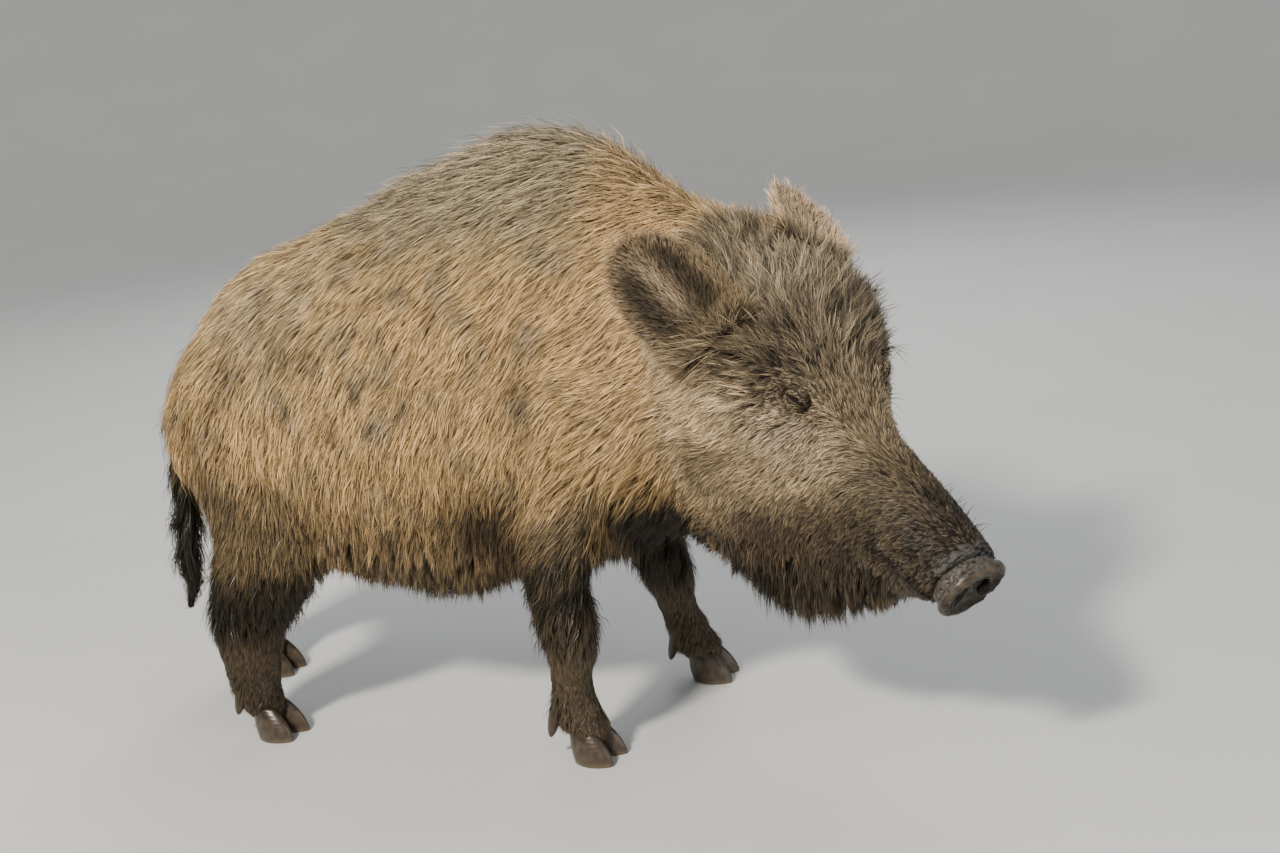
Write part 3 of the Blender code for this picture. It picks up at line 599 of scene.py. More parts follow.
# painted shade in the cup of each ear's open side, much weaker on the left ear, whose cup is painted as lit
hollow = (ear_part > 0.75) * ramp(np.abs(ear_side), 0.84, 0.60) * ramp(ear_up, 0.90, 0.72) * (1 - 0.8 * (Y > 0))
paint("#514634", hollow)
paint("#D2B594", hollow * np.exp(-((ear_side + 0.02) / 0.20) ** 2) * ramp(ear_up, 0.15, 0.4) * 0.8)
paint("#A38D6C", is_ear * ramp(ear_up, 0.22, 0.05) * 0.8)
marking *= 1 - (trunk_part + PART["neck"])[:, None] * np.array((0.0, 0.03, 0.11))
marking *= (1 + 0.10 * drift)[:, None]


def coloured(piece, colours):
    """Puts one linear colour on each point of a piece."""
    marks = piece.data.color_attributes.new("Marking", "FLOAT_COLOR", "POINT")
    rows = np.concatenate([colours, np.ones((len(colours), 1))], 1)
    marks.data.foreach_set("color", rows.astype(np.float32).ravel())


# the finished skin, its colours and its unwrap
bpy.data.objects.remove(skin)
skin = put_mesh("skin", P, F)
HIDE_PAINTED_SHADE = 0.16  # the hide between the hairs is laid darker than they are: partly the dark under-wool, partly painted shade so that the gaps between them read as shadow
coloured(skin, marking * np.maximum((bare > 0.5) | (lid_bald > 0.3), HIDE_PAINTED_SHADE + 0.35 * low_leg)[:, None])
bpy.context.view_layer.objects.active = skin
skin.select_set(True)
bpy.ops.object.mode_set(mode="EDIT")
bpy.ops.mesh.select_all(action="SELECT")
bpy.ops.uv.smart_project(angle_limit=np.radians(66), island_margin=0.001)
bpy.ops.object.mode_set(mode="OBJECT")
skin.data.uv_layers.active.name = "OFBake"
skin_uv = np.empty(len(skin.data.loops) * 2, np.float32)
skin.data.uv_layers["OFBake"].data.foreach_get("uv", skin_uv)
skin_uv = skin_uv.reshape(-1, 3, 2)


def marked_material(name, settings):
    """A material that takes its colour from the marking of the piece; returns it and its shader."""
    material, shader = new_material(name, settings)
    colour = add_node(material, "ShaderNodeVertexColor", {"layer_name": "Marking"})
    link(material, colour.outputs["Color"], shader, "Base Color")
    return material, shader


# hide: slate skin that is damp where it is bare, cracked into little fields with pores between
hide_material, shader = marked_material("boar_hide", {"Roughness": 0.55, "Specular IOR Level": 0.15})
place = add_node(hide_material, "ShaderNodeTexCoord")
pores = add_node(hide_material, "ShaderNodeTexNoise", {"Scale": 450.0, "Detail": 4.0},
                 Vector=place.outputs["Object"])
fields = add_node(hide_material, "ShaderNodeTexVoronoi", {"feature": "DISTANCE_TO_EDGE", "Scale": 270.0},
                  Vector=place.outputs["Object"])
field_edge = add_node(hide_material, "ShaderNodeMapRange", {"From Min": 0.0, "From Max": 0.12},
                      Value=fields.outputs["Distance"])
fine = add_node(hide_material, "ShaderNodeBump", {"Strength": 0.30, "Distance": 0.0010},
                Height=pores.outputs[0])
relief = add_node(hide_material, "ShaderNodeBump", {"Strength": 0.6, "Distance": 0.0010},
                  Height=field_edge.outputs[0], Normal=fine.outputs["Normal"])
link(hide_material, relief.outputs["Normal"], shader, "Normal")
skin.data.materials.append(hide_material)
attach(skin, "root")
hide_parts(*FLESH, "ear_right", "ear_left")

# Coat
# Coarse split bristles over a grey-brown winter wool, tan at the tips, wet and clotted below. They are
# set in clumps along the lie of the coat, each bristle a thin blade that bends down on to the body.
draw = np.random.default_rng(20)
# x, y, z of a place on her right in mm, the way the hair points there in hundredths, and how many mm
# that holds for
TRUNK_LIE = (
    (-447, -96, 520, -55, -15, -82, 60), (-354, -79, 598, -78, -30, -55, 60),
    (-240, -61, 651, -89, -18, -41, 60), (-98, -76, 699, -95, -1, -33, 60), (9, -70, 728, -93, -25, -27, 60),
    (119, -64, 710, -75, -62, -23, 60), (200, -64, 655, -59, -78, -21, 50),
    (-252, -135, 557, -52, -31, -80, 60), (-108, -127, 624, -72, -23, -65, 60),
    (-2, -120, 654, -76, -29, -57, 60), (-129, -161, 536, -51, -21, -83, 60),
    (-329, -159, 476, -32, -29, -90, 60), (-417, -157, 450, -23, -18, -96, 50),
    (-201, -182, 432, -30, -11, -95, 60), (-60, -171, 513, -47, -19, -86, 60),
    (-88, -185, 396, -35, 1, -94, 60), (-325, -169, 338, -18, -7, -98, 60), (-554, -14, 258, -11, -11, -99, 50),
    (-205, -170, 315, -23, 36, -90, 50), (4, -152, 578, -62, -29, -73, 60), (90, -140, 597, -75, -20, -63, 50),
    (47, -163, 516, -58, -24, -78, 35), (104, -160, 480, -98, -16, -15, 35), (48, -168, 405, -56, 6, -83, 45),
    (14, -175, 466, -37, -16, -92, 40), (161, -142, 561, -76, -28, -59, 50),
    (166, -148, 470, -94, -15, -31, 45), (189, -131, 407, -87, -5, -48, 45), (127, -144, 363, -79, -3, -62, 45),
    (80, -157, 342, -61, -11, -79, 45), (169, -78, 295, -69, 25, -68, 45), (102, -137, 281, -37, -40, -84, 45),
    (-1, -154, 327, -35, 28, -89, 45), (-95, -142, 271, -33, 49, -80, 50), (-203, -111, 231, -34, 71, -62, 50),
    (33, -164, 251, -45, 16, -88, 35), (72, -158, 219, -26, -2, -97, 35), (-366, -163, 204, -29, 19, -94, 50),
    (-307, -139, 210, -35, 48, -80, 40),
)
HEAD_LIE = (
    (262, -150, 459, -84, 24, -48, 30), (264, -135, 391, -97, 13, -18, 25), (240, -105, 341, -56, 51, -65, 25),
    (212, -60, 284, -38, 64, -67, 30), (337, -147, 458, -95, -32, -2, 30), (325, -140, 411, -87, 11, -49, 30),
    (374, -134, 398, -77, -14, -62, 30), (423, -129, 391, -54, -45, -71, 30),
    (406, -141, 337, -68, 34, -65, 30), (322, -103, 312, -53, 45, -72, 30), (248, -45, 249, -24, 61, -76, 30),
    (341, -86, 241, -12, 44, -89, 30), (421, -120, 238, -2, 48, -88, 30), (461, -154, 342, -61, -14, -78, 25),
    (465, -72, 399, -52, 74, 42, 22), (517, -135, 343, -55, 54, 64, 22), (478, -130, 369, -90, -27, 35, 22),
    (522, -163, 318, -92, -39, -2, 22), (484, -166, 313, -88, -4, -48, 22), (446, -153, 296, -63, 44, -64, 22),
    (518, -181, 274, -79, 23, -56, 22), (482, -154, 246, -37, 57, -73, 22), (406, -107, 465, -50, -16, 85, 22),
    (435, -78, 440, -27, 9, 96, 22), (374, -130, 485, -64, -40, 65, 22), (345, -137, 517, -63, 3, 78, 28),
    (294, -138, 530, -98, -14, -17, 25),
)
# places on the brow in the head's own frame, with the way in that frame
BROW_LIE = (
    (100, -55, -10, -100, 5, 0, 30), (60, -60, -20, -100, -20, 0, 30), (100, 0, 0, -100, 55, 0, 30),
    (160, -10, -5, -100, 45, 0, 30), (160, 50, -10, -100, 100, 0, 30), (100, 60, -10, -100, 90, 0, 30),
    (205, 50, -35, -80, 90, 40, 25), (170, -75, -20, -100, 0, 20, 25), (205, 0, -30, -100, 20, 30, 25),
    (20, 0, -30, -100, 10, 0, 40), (350, 0, -60, -100, 0, 0, 40), (270, 0, -60, -100, 0, 0, 30),
)
RIGHT_TO_LEFT = np.array((1.0, -1.0, 1.0))
UNITS = np.array((1000, 1000, 1000, 100, 100, 100, 1000))
trunk_rows, head_rows, brow_rows = (np.array(rows) / UNITS for rows in (TRUNK_LIE, HEAD_LIE, BROW_LIE))
trunk_rows[:, 1] += MIDLINE
head_rows[:, 1] += MIDLINE
left_rows = trunk_rows.copy()
left_rows[:, 1] = 2 * MIDLINE - left_rows[:, 1]
left_rows[:, 4] *= -1
turned = head_rows.copy()
turned[:, :3] = from_head(to_head(head_rows[:, :3]) * RIGHT_TO_LEFT)
turned[:, 3:6] = ((head_rows[:, 3:6] @ HEAD_TURN) * RIGHT_TO_LEFT) @ HEAD_TURN.T
brow_rows[:, :3] = from_head(brow_rows[:, :3])
brow_rows[:, 3:6] = brow_rows[:, 3:6] @ HEAD_TURN.T
guides = np.concatenate([trunk_rows, left_rows, head_rows, turned, brow_rows])
backwards = np.array((-1.0, 0.0, -0.25))
lie = 0.01 * (backwards * (1 - head_part)[:, None] - HEAD_TURN[:, 0] * head_part[:, None])
lie[:, 2] -= 0.02 * under * trunk_part
for row in guides:
    lie += unit(row[3:6]) * bump_at(P, row[:3], row[6])[:, None]
downwards = np.array((-0.12, 0.0, -1.0))
hanging = np.clip(low_leg + 0.9 * leg_part * ramp(Z, 0.24, 0.18) + PART["tail"], 0, 1)[:, None]
lie = unit(lie) * (1 - hanging) + downwards * hanging
lie[ear_part > 0] = ear_rows[ear_part > 0, 4:]


def along_surface(vectors, outward):
    """The part of each vector that lies in the surface, at length 1."""
    return unit(vectors - outward * np.einsum("ij,ij->i", vectors, outward)[:, None])


lie = along_surface(evened(along_surface(lie, N), E, 3), N)
swirl = np.radians(9.0) * waves(P, 0.06, 11) + np.radians(7.0) * waves(P, 0.02, 12)
swirl += np.radians(16.0) * crown * waves(P, 0.03, 13)
lie = lie * np.cos(swirl)[:, None] + np.cross(N, lie) * np.sin(swirl)[:, None]

# leg, x, y and heading of the foot, and how far its claws are spread, in degrees
FEET = (("foreleg_right", 0.220, -0.1150, -3.0, 10.0), ("foreleg_left", 0.272, 0.1590, 6.0, 10.0),
        ("hindleg_right", -0.234, -0.1170, -3.0, 7.0), ("hindleg_left", -0.368, 0.0900, 4.0, 7.0))
ROOT_PLACE = np.array((-0.14627595, MIDLINE, 0.0))
CLAWS = [(leg, "outer" if hand * foot_y > 0 else "inner", hand, np.array((foot_x, foot_y, 0)), heading, splay)
         for leg, foot_x, foot_y, heading, splay in FEET for hand in (1, -1)]


def turned_about_up(points, degrees):
    """The points turned by that many degrees about the upright axis."""
    a = np.radians(degrees)
    return points @ np.array(((np.cos(a), np.sin(a), 0), (-np.sin(a), np.cos(a), 0), (0, 0, 1)))


# tufts over the roots of the dewclaws
spur_root = np.zeros(len(P))
for _, _, hand, foot, heading, _ in CLAWS:
    place = turned_about_up(np.array((-0.036, hand * 0.016, 0.078)), heading) + foot + ROOT_PLACE
    spur_root += bump_at(P, place, 0.016)
spur_root = np.clip(spur_root, 0, 1)

# how the coat grows at each point: length and width of a hair, how far it stands off, how loosely it
# hangs clear of the body, how tightly a clump's tips gather, and how many hairs to a square metre
short_haired = 1 - beard
trunk_and_neck, tail = trunk_part + PART["neck"], PART["tail"]
upper_leg = leg_part * (1 - low_leg)
belly = under * trunk_part * ramp(Z, 0.34, 0.28)
ear_root = np.zeros(len(P))
for base, tip, facing in EARS.values():
    reach = unit(np.cross(facing, np.array(tip) - base)) * 0.045
    ear_root += np.exp(-(line_distance(in_head, np.array((base - reach, base + reach))) / 0.020) ** 2)
hanging_beard = beard * ramp(-N[:, 2], 0.05, 0.55)
cheek = head_part * bump_at(in_half, (0.12, 0.13, -0.17), (0.09, 0.06, 0.09))
round_eye = head_part * np.exp(-0.5 * (eye_r / 1.15) ** 2)
length = (0.034 * trunk_and_neck + 0.010 * mane - 0.004 * belly + 0.019 * head_part + 0.018 * crown
          + 0.006 * cheek + 0.034 * upper_leg + (0.005 + 0.005 * ramp(Z, 0.06, 0.12)) * low_leg + 0.055 * tail
          + 0.012 * is_ear)
beard_length = hanging_beard * (0.004 + 0.010 * ramp(HX, 0.22, 0.30)) * ramp(HX, 0.395, 0.35) + 0.002 * beard
muzzle_loss = 0.009 * ramp(HX, 0.26, 0.36) * short_haired + 0.004 * ramp(HX, 0.38, 0.44)
length += head_part * (beard_length - muzzle_loss * (1 - 0.9 * ramp(-N[:, 2], 0.3, 0.8)))
length = length * (1 - 0.78 * round_eye) + 0.006 * ear_rim + 0.014 * ear_root
length += 0.001 * is_ear * (Y > 0)
lift = (0.24 * trunk_and_neck + 0.22 * head_part + 0.25 * crown - 0.06 * muzzle + 0.26 * upper_leg
        + 0.05 * low_leg + 0.26 * tail + 0.18 * is_ear + 0.08 * mane + 0.20 * ear_root)
loose = np.clip(belly + hanging_beard * 1.1 + 0.35 * crown + 0.6 * PART["neck"] * under + ear_rim
                + 0.35 * upper_leg, 0, 1)
damp = np.clip(0.45 * muzzle + 1.6 * belly + beard + upper_leg + 0.5 * low_leg + tail
               + (PART["neck"] + PART["shoulders"]) * under, 0, 1)
tight = 0.70 + 0.16 * crown + 0.20 * damp - 0.2 * low_leg - 0.20 * head_part * short_haired - 0.3 * is_ear
width = 0.00086 - 0.00030 * head_part * short_haired - 0.00018 * muzzle - 0.00036 * low_leg - 0.00048 * is_ear
hairs = -290e3 * hanging_beard - 120e3 * crown + (
    262e3 * trunk_and_neck + 500e3 * head_part + 330e3 * muzzle * short_haired + 210e3 * upper_leg
    + 640e3 * low_leg + 250e3 * tail + 520e3 * is_ear)
bald = np.clip(bare * 0.97 + np.exp(-(from_mouth / 0.003) ** 2)
               + lid_bald + (1 - lid_part) * ramp(eye_r, 0.92, 0.86) + lid_part * ramp(eye_r, 0.95, 0.99), 0, 1)
bald = np.clip(bald + leg_part * ramp(Z, 0.044, 0.034), 0, 1)
hairs += 260e3 * head_part * bump_at(in_half, (0.140, 0.106, -0.050), 0.020)
hairs *= 1 - bald
hairline = leg_part * np.exp(-((Z - 0.054) / 0.010) ** 2)
length = evened(length, E, 2) + 0.008 * hairline + 0.014 * spur_root
lift += 0.20 * hairline + 0.40 * spur_root

corners = P[F]
area = 0.5 * np.linalg.norm(np.cross(corners[:, 1] - corners[:, 0], corners[:, 2] - corners[:, 0]), axis=1)
DRY_CLUMP, WET_CLUMP = 3, 18  # hairs to a clump
clotted = np.maximum(damp, 0.45 * crown)
wanted = np.cumsum(area * (hairs / (DRY_CLUMP + (WET_CLUMP - DRY_CLUMP) * clotted))[F].mean(1))
ticks = np.arange(int(wanted[-1])) + draw.random(int(wanted[-1]))
home = np.minimum(np.searchsorted(wanted, ticks), len(F) - 1)
r1, r2 = np.sqrt(draw.random(len(home))), draw.random(len(home))
inner = np.stack([1 - r1, r1 * (1 - r2), r1 * r2], 1)


def at_home(values):
    """A value of the points, taken at each clump's place on its face."""
    picked = values[F[home]]
    return (picked * inner.reshape(inner.shape + (1,) * (picked.ndim - 2))).sum(1)


root, out0, way0 = at_home(P), unit(at_home(N)), unit(at_home(lie))
count = len(home)
hanging = np.clip(at_home(belly + hanging_beard), 0, 1)[:, None]
size, rise, free, gather, broad = (at_home(v) for v in (length, lift, loose, tight, width))
size = size * draw.uniform(0.80, 1.20, count)
rise = rise * draw.uniform(0.6, 1.5, count)
turn = np.radians(11.0) * draw.normal(size=count) * (1 + 0.8 * at_home(crown))
way0 = along_surface(way0, out0)
way0 = way0 * np.cos(turn)[:, None] + np.cross(out0, way0) * np.sin(turn)[:, None]

# each clump's line: it follows the skin in three steps, or hangs clear where the coat is loose
skin_tree = BVHTree.FromPolygons(P.tolist(), F.tolist())
face_way = unit(lie[F].mean(1))
face_out = unit(N[F].mean(1))
JOINTS = 3
line, normal = [root], [out0]
on_skin, hung, way = root, root, way0
hang = np.array((-0.10, 0.0, -1.0)) + np.array((0.32, -0.12, 0.0)) * at_home(head_part)[:, None]
fall = unit(way0 * (1 - 0.85 * hanging) + hang * hanging + 0.15 * draw.normal(size=(count, 3)))
for joint in range(1, JOINTS):
    step = (size / (JOINTS - 1))[:, None]
    aim = on_skin + way * step
    found = [skin_tree.find_nearest(p) for p in aim.tolist()]
    on_skin = np.array([hit[0] for hit in found])
    face = np.array([hit[2] for hit in found])
    outward = face_out[face]
    hung = hung + unit(fall + 0.30 / joint * out0 + 0.15 * joint * hang) * step
    way = along_surface(0.55 * way + 0.45 * face_way[face], outward)
    blend = free[:, None]
    line.append(on_skin * (1 - blend) + hung * blend)
    normal.append(unit(outward * (1 - blend) + out0 * blend))
line, normal = np.stack(line, 1), np.stack(normal, 1)

# the hairs of each clump
clump = np.round(DRY_CLUMP + (WET_CLUMP - DRY_CLUMP) * at_home(clotted)).astype(int)
hair_clump = np.repeat(np.arange(count), clump)
total = len(hair_clump)


def of_hairs(values):
    """A value of the points, taken for each hair at its clump's place."""
    return at_home(values)[hair_clump]


share_along = np.linspace(0, 1, JOINTS)
FEWEST = 2e4  # hairs to a square metre, for the width of a clump where the coat is nearly bare
spread = np.sqrt(clump / (np.pi * np.maximum(at_home(hairs), FEWEST)))[hair_clump]
spread = spread * (0.9 + 0.25 * of_hairs(clotted))
bearing, off = draw.uniform(0, 2 * np.pi, total), np.sqrt(draw.random(total))
sideways = np.cross(way0, out0)[hair_clump]
offset = (way0[hair_clump] * np.cos(bearing)[:, None] + sideways * np.sin(bearing)[:, None])
offset *= (spread * off)[:, None]
closing = 1 - gather[hair_clump, None] * share_along ** 0.8
stretch = draw.uniform(0.70, 1.15, total)
stand = (rise * size)[hair_clump] * np.where(draw.random(total) < 0.05, 2.0, draw.uniform(0.15, 1.5, total))
height = stand[:, None] * share_along * (1.5 - 0.75 * share_along)
centre = line[hair_clump]
centre = centre[:, :1] + (centre - centre[:, :1]) * stretch[:, None, None]
centre = centre + offset[:, None] * closing[..., None] + normal[hair_clump] * height[..., None]
phase, amount = draw.uniform(0, 2 * np.pi, total), draw.normal(size=total)
wave = np.sin(share_along * 3.6 + phase[:, None]) - np.sin(phase)[:, None]
centre = centre + sideways[:, None] * (wave * (0.045 * size[hair_clump] * amount)[:, None])[..., None]
tangent = unit(np.gradient(centre, axis=1))
across = unit(np.cross(tangent, normal[hair_clump]))
upright = np.cross(across, tangent)
twist = np.radians(24.0) * draw.normal(size=total)
across = across * np.cos(twist)[:, None, None] + upright * np.sin(twist)[:, None, None]
half = 0.5 * broad[hair_clump, None] * np.array((0.9, 1.0)) * draw.uniform(0.7, 1.25, total)[:, None]
lefts = centre[:, :2] - across[:, :2] * half[..., None]
rights = centre[:, :2] + across[:, :2] * half[..., None]
blade = np.concatenate([np.stack([lefts, rights], 2).reshape(total, 4, 3), centre[:, 2:]], 1)
blade[..., 2] = np.maximum(blade[..., 2], 0.002)

# colour along a hair: dark at the root, partly its own darker base and partly painted shade of the gaps between
# hairs, its full colour beyond the middle and pale at the tip
wetness = of_hairs(damp)[:, None]
tone = (1 + (0.21 + 0.20 * at_home(crown)) * draw.normal(size=count))[hair_clump]
tone *= 1 + 0.22 * draw.normal(size=total)
luck = draw.random(total)
grizzled = 0.14 + 0.16 * of_hairs(head_part + mane + 0.6 * crown + 2.2 * beard)
# painted shade: hairs that grow on the partings between locks are darkened, most of all on the head and crown
parting_shade = ramp(waves(root * (1, 1, 0.35), 0.016, 61), 0.8, 1.5)
parting_shade += 0.5 * ramp(waves(root * (1, 1, 0.4), 0.040, 62), 0.7, 1.4)
parting_shade_strength = 0.6 * trunk_part + 0.6 * rear + 0.8 * PART["neck"] + 0.7 * head_part + 0.5 * crown
tone *= np.maximum(1 - 0.45 * parting_shade * at_home(parting_shade_strength), 0.1)[hair_clump]
tone = np.clip(tone * np.where(luck < grizzled, 0.38, 1.0 + 0.35 * (luck > 0.82)), 0.16, 2.0)
tone = np.minimum(tone, 2.0 - 0.8 * of_hairs(leg_part))
DRY_SHADES, WET_SHADES = np.array((0.12, 0.85, 1.55)), np.array((0.30, 0.75, 1.30))
along_hair = DRY_SHADES * (1 - wetness) + WET_SHADES * wetness
tint = of_hairs(marking)[:, None] * (along_hair * tone[:, None])[..., None]
dust = 0.6 * ((luck > 0.84) * of_hairs(muzzle * short_haired))[:, None, None] * share_along[:, None]
tint = tint * (1 - dust) + linear("#A4967C") * dust
tint = np.repeat(tint, (2, 2, 1), axis=1)

BLADE_FACES = np.array(((0, 1, 3), (0, 3, 2), (2, 3, 4)))
PATCH = 0.003  # side of the patch that each hair has on the unwrap of the skin
PATCH_PLACE = PATCH * np.array(((0, 0), (1, 0), (0, 0.5), (1, 0.5), (0.5, 1)))
root_uv = (skin_uv[home] * inner[..., None]).sum(1)[hair_clump]


# bristle: horny, half matt, with the gloss of the hair's scales; wet bristle is smoother
def bristle_material(name, roughness, specular):
    """Takes its colour from the marks on the hairs, broken a little along them by dust."""
    material, shader = new_material(name, {"Roughness": roughness, "Specular IOR Level": specular})
    colour = add_node(material, "ShaderNodeVertexColor", {"layer_name": "Marking"})
    place = add_node(material, "ShaderNodeTexCoord")
    dust = add_node(material, "ShaderNodeTexNoise", {"Scale": 160.0, "Detail": 2.0},
                    Vector=place.outputs["Object"])
    level = add_node(material, "ShaderNodeMapRange", {"From Min": 0.3, "From Max": 0.7, "To Min": 0.86,
                                                      "To Max": 1.14}, Value=dust.outputs[0])
    mixed = add_node(material, "ShaderNodeVectorMath", {"operation": "SCALE"})
    material.node_tree.links.new(colour.outputs["Color"], mixed.inputs[0])
    material.node_tree.links.new(level.outputs[0], mixed.inputs["Scale"])
    link(material, mixed.outputs[0], shader, "Base Color")
    return material


dry_bristle = bristle_material("dry_bristle", 0.55, 0.35)
wet_bristle = bristle_material("wet_bristle", 0.38, 0.35)


def coat_piece(name, chosen, material):
    """The chosen hairs as one mesh."""
    points = blade[chosen].reshape(-1, 3)
    faces = (BLADE_FACES[None] + 5 * np.arange(len(chosen))[:, None, None]).reshape(-1, 3)
    piece = put_mesh(name, points, faces)
    coloured(piece, tint[chosen].reshape(-1, 3))
    patch = root_uv[chosen][:, None, None] + PATCH_PLACE[BLADE_FACES][None]
    unwrap = piece.data.uv_layers.new(name="OFBake")
    unwrap.data.foreach_set("uv", patch.astype(np.float32).ravel())
    piece.data.materials.append(material)
    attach(piece, "root")


ZONES = {"head": head_part * (1 - muzzle), "muzzle": muzzle, "ears": is_ear, "neck": PART["neck"],
         "shoulders": PART["shoulders"], "barrel": PART["barrel"], "rump": PART["rump"], "legs": leg_part,
         "tail": tail}
zone_of = np.stack([at_home(v) for v in ZONES.values()], 1).argmax(1)[hair_clump]
MOST = 62000  # hairs to a piece
for number, zone in enumerate(ZONES):
    members = np.where(zone_of == number)[0]
    members = members[np.argsort(root[hair_clump[members], 1], kind="stable")]
    wet = zone in ("legs", "tail")
    for part, chosen in enumerate(np.array_split(members, max(1, -(-len(members) // MOST)))):
        coat_piece(f"coat_{zone}_{part + 1}", chosen, wet_bristle if wet else dry_bristle)

# Bristles
# Long stiff feelers, dark and thin, that stand singly on the muzzle, the chin, the cheek and over the
# eyes, and the lashes of both lids. Each is a tapered three-sided rod that droops a little.
# head-frame place on her right, spread of the group, how many, length, how steeply they stand
FEELERS = (
    ((0.405, -0.040, -0.070), (0.022, 0.012, 0.014), 26, 0.024, 0.9),
    ((0.395, -0.040, -0.165), (0.030, 0.014, 0.010), 26, 0.030, 0.8),
    ((0.415, 0.000, -0.060), (0.020, 0.012, 0.004), 12, 0.022, 1.2),
    ((0.350, -0.055, -0.150), (0.030, 0.010, 0.018), 14, 0.034, 0.7),
    ((0.205, -0.075, -0.030), (0.014, 0.010, 0.006), 10, 0.032, 0.9),
    ((0.240, -0.085, -0.095), (0.015, 0.010, 0.008), 8, 0.030, 0.8),
)
ROD_POINTS, ROD_SIDES, ROD_THICK = 6, 3, 0.00042
starts, ways, outs, lengths = [], [], [], []
for place, spreading, number, reach, steep in FEELERS:
    for hand in (1, -1):
        spots = from_head((np.array(place) + draw.normal(size=(number, 3)) * spreading) * (1, hand, 1))
        for spot in spots.tolist():
            hit, outward, face, _ = skin_tree.find_nearest(spot)
            starts.append(hit)
            outs.append(outward)
            ways.append(face_way[face] + steep * np.array(outward) + 0.25 * draw.normal(size=3))
            lengths.append(reach * draw.uniform(0.6, 1.15))
UPPER_LASHES, LOWER_LASHES = ([(v, hand) for v in np.linspace(-end, end, number)]
                              for hand, end, number in ((1, 0.8, 26), (-1, 0.6, 9)))
for hand in (-1, 1):
    mirror = np.array((1.0, hand, 1.0))
    look, slit, upwards = EYE_LOOK * mirror, SLIT * mirror, LID_UP * mirror
    for share, lid in UPPER_LASHES + LOWER_LASHES:
        height = 0.0014 * lid * (1 - share ** 2) ** 0.5 + 0.0032 * (1 - share ** 2) - 0.0012
        spot = slit * SLIT_LONG * share + upwards * height
        spot = EYE_CENTRE * mirror + spot + look * (np.sqrt(max(EYE_RADIUS ** 2 - spot @ spot, 0)) + 0.0012)
        starts.append(from_head(spot))
        outs.append(from_head(look) - POLL)
        way = look * 0.8 - upwards * 0.45 * lid + slit * 0.35 * share + 0.1 * draw.normal(size=3)
        ways.append(from_head(way) - POLL)
        lengths.append(0.0075 * draw.uniform(0.7, 1.1) if lid > 0 else 0.0035)
starts, ways, outs, lengths = (np.array(v, float) for v in (starts, ways, outs, lengths))
ways = unit(ways)
t = np.linspace(0, 1, ROD_POINTS)[None, :, None]
rods = starts[:, None] + ways[:, None] * (lengths[:, None, None] * t)
rods = rods + np.array((0, 0, -0.22)) * (lengths[:, None, None] * t ** 2)
rods = rods - outs[:, None] * 0.001 * (t == 0)
first = unit(np.cross(ways, outs) + 1e-6)
second = np.cross(ways, first)
corner = np.linspace(0, 2 * np.pi, ROD_SIDES, endpoint=False)
ring = first[:, None] * np.cos(corner)[None, :, None] + second[:, None] * np.sin(corner)[None, :, None]
thick = ROD_THICK * (1 - 0.9 * t[..., None])
rods = rods[:, :, None] + ring[:, None] * thick * np.where(lengths < 0.009, 0.6, 1.0)[:, None, None, None]
one_rod = grid_faces(ROD_POINTS, ROD_SIDES)
rod_faces = (one_rod[None] + ROD_POINTS * ROD_SIDES * np.arange(len(rods))[:, None, None]).reshape(-1, 4)
bristles = put_mesh("bristles", rods.reshape(-1, 3), rod_faces)
# feeler: solid dark horn with a slight gloss
feeler, shader = new_material("dark_bristle", {"Roughness": 0.35, "Base Color": rgba("#2A2119")})
bristles.data.materials.append(feeler)
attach(bristles, "root")


# Eyes
# Balls of dark glass behind the half-shut lids: a near-black pupil in a dark brown ring, wet and bright.
# Each is a ball of rings about the way it looks, with the cornea as a low bulge in front.
def laid_over(shade, code, share):
    """The shades with a hex colour laid over them, as strongly as share says at each point."""
    return shade + (linear(code) - shade) * np.asarray(share)[..., None]


# cornea and the ball behind it: clear and wet over brown
ball_material, _ = marked_material("wet_cornea", {"Roughness": 0.04, "Specular IOR Level": 0.6})
BALL_RINGS, BALL_SIDES = 32, 48
for side, hand in (("right", -1), ("left", 1)):
    mirror = np.array((1.0, hand, 1.0))
    look = EYE_LOOK * mirror
    east = unit(np.cross(look, (0.0, 0.0, 1.0)))
    north = np.cross(east, look)
    tilt = np.linspace(0.02, np.pi - 0.02, BALL_RINGS)[:, None, None]
    turn = np.linspace(0, 2 * np.pi, BALL_SIDES, endpoint=False)[None, :, None]
    bulge = 1 + 0.03 * np.exp(-(tilt / 0.5) ** 2)
    round_look = east * np.cos(turn) + north * np.sin(turn)
    ball = EYE_RADIUS * bulge * (look * np.cos(tilt) + round_look * np.sin(tilt))
    ball = from_head((EYE_CENTRE * mirror + ball).reshape(-1, 3))
    eyeball = put_mesh(f"eyeball_{side}", ball, sealed(BALL_RINGS, BALL_SIDES)[:, ::-1])
    angle = np.repeat(np.degrees(tilt.ravel()), BALL_SIDES)
    shade = laid_over(linear("#060403"), "#2C170A", ramp(angle, 17, 21))
    coloured(eyeball, laid_over(shade, "#4A3D33", ramp(angle, 42, 50)))
    eyeball.data.materials.append(ball_material)
    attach(eyeball, "root")
    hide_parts(f"eye_{side}")

# Snout disc
# A plate of gristle under bare wet skin, with which she digs: a thick rolled rim, a hollow face with two
# slanted nostrils and fine creases that run out from them. Its neck is let into the end of the muzzle.
DISC_TURN = HEAD_TURN @ np.array(Euler((0.0, np.radians(-4.0), np.radians(-1.0))).to_matrix())
DISC_CENTRE = from_head((0.487, 0.0, -0.102))
DISC_SIDES, HEIGHT_SHARE = 288, 0.90
FACE_RINGS = 56  # of the 89 rings, from the middle of the face to the back of its lip
NECK_RINGS = 20
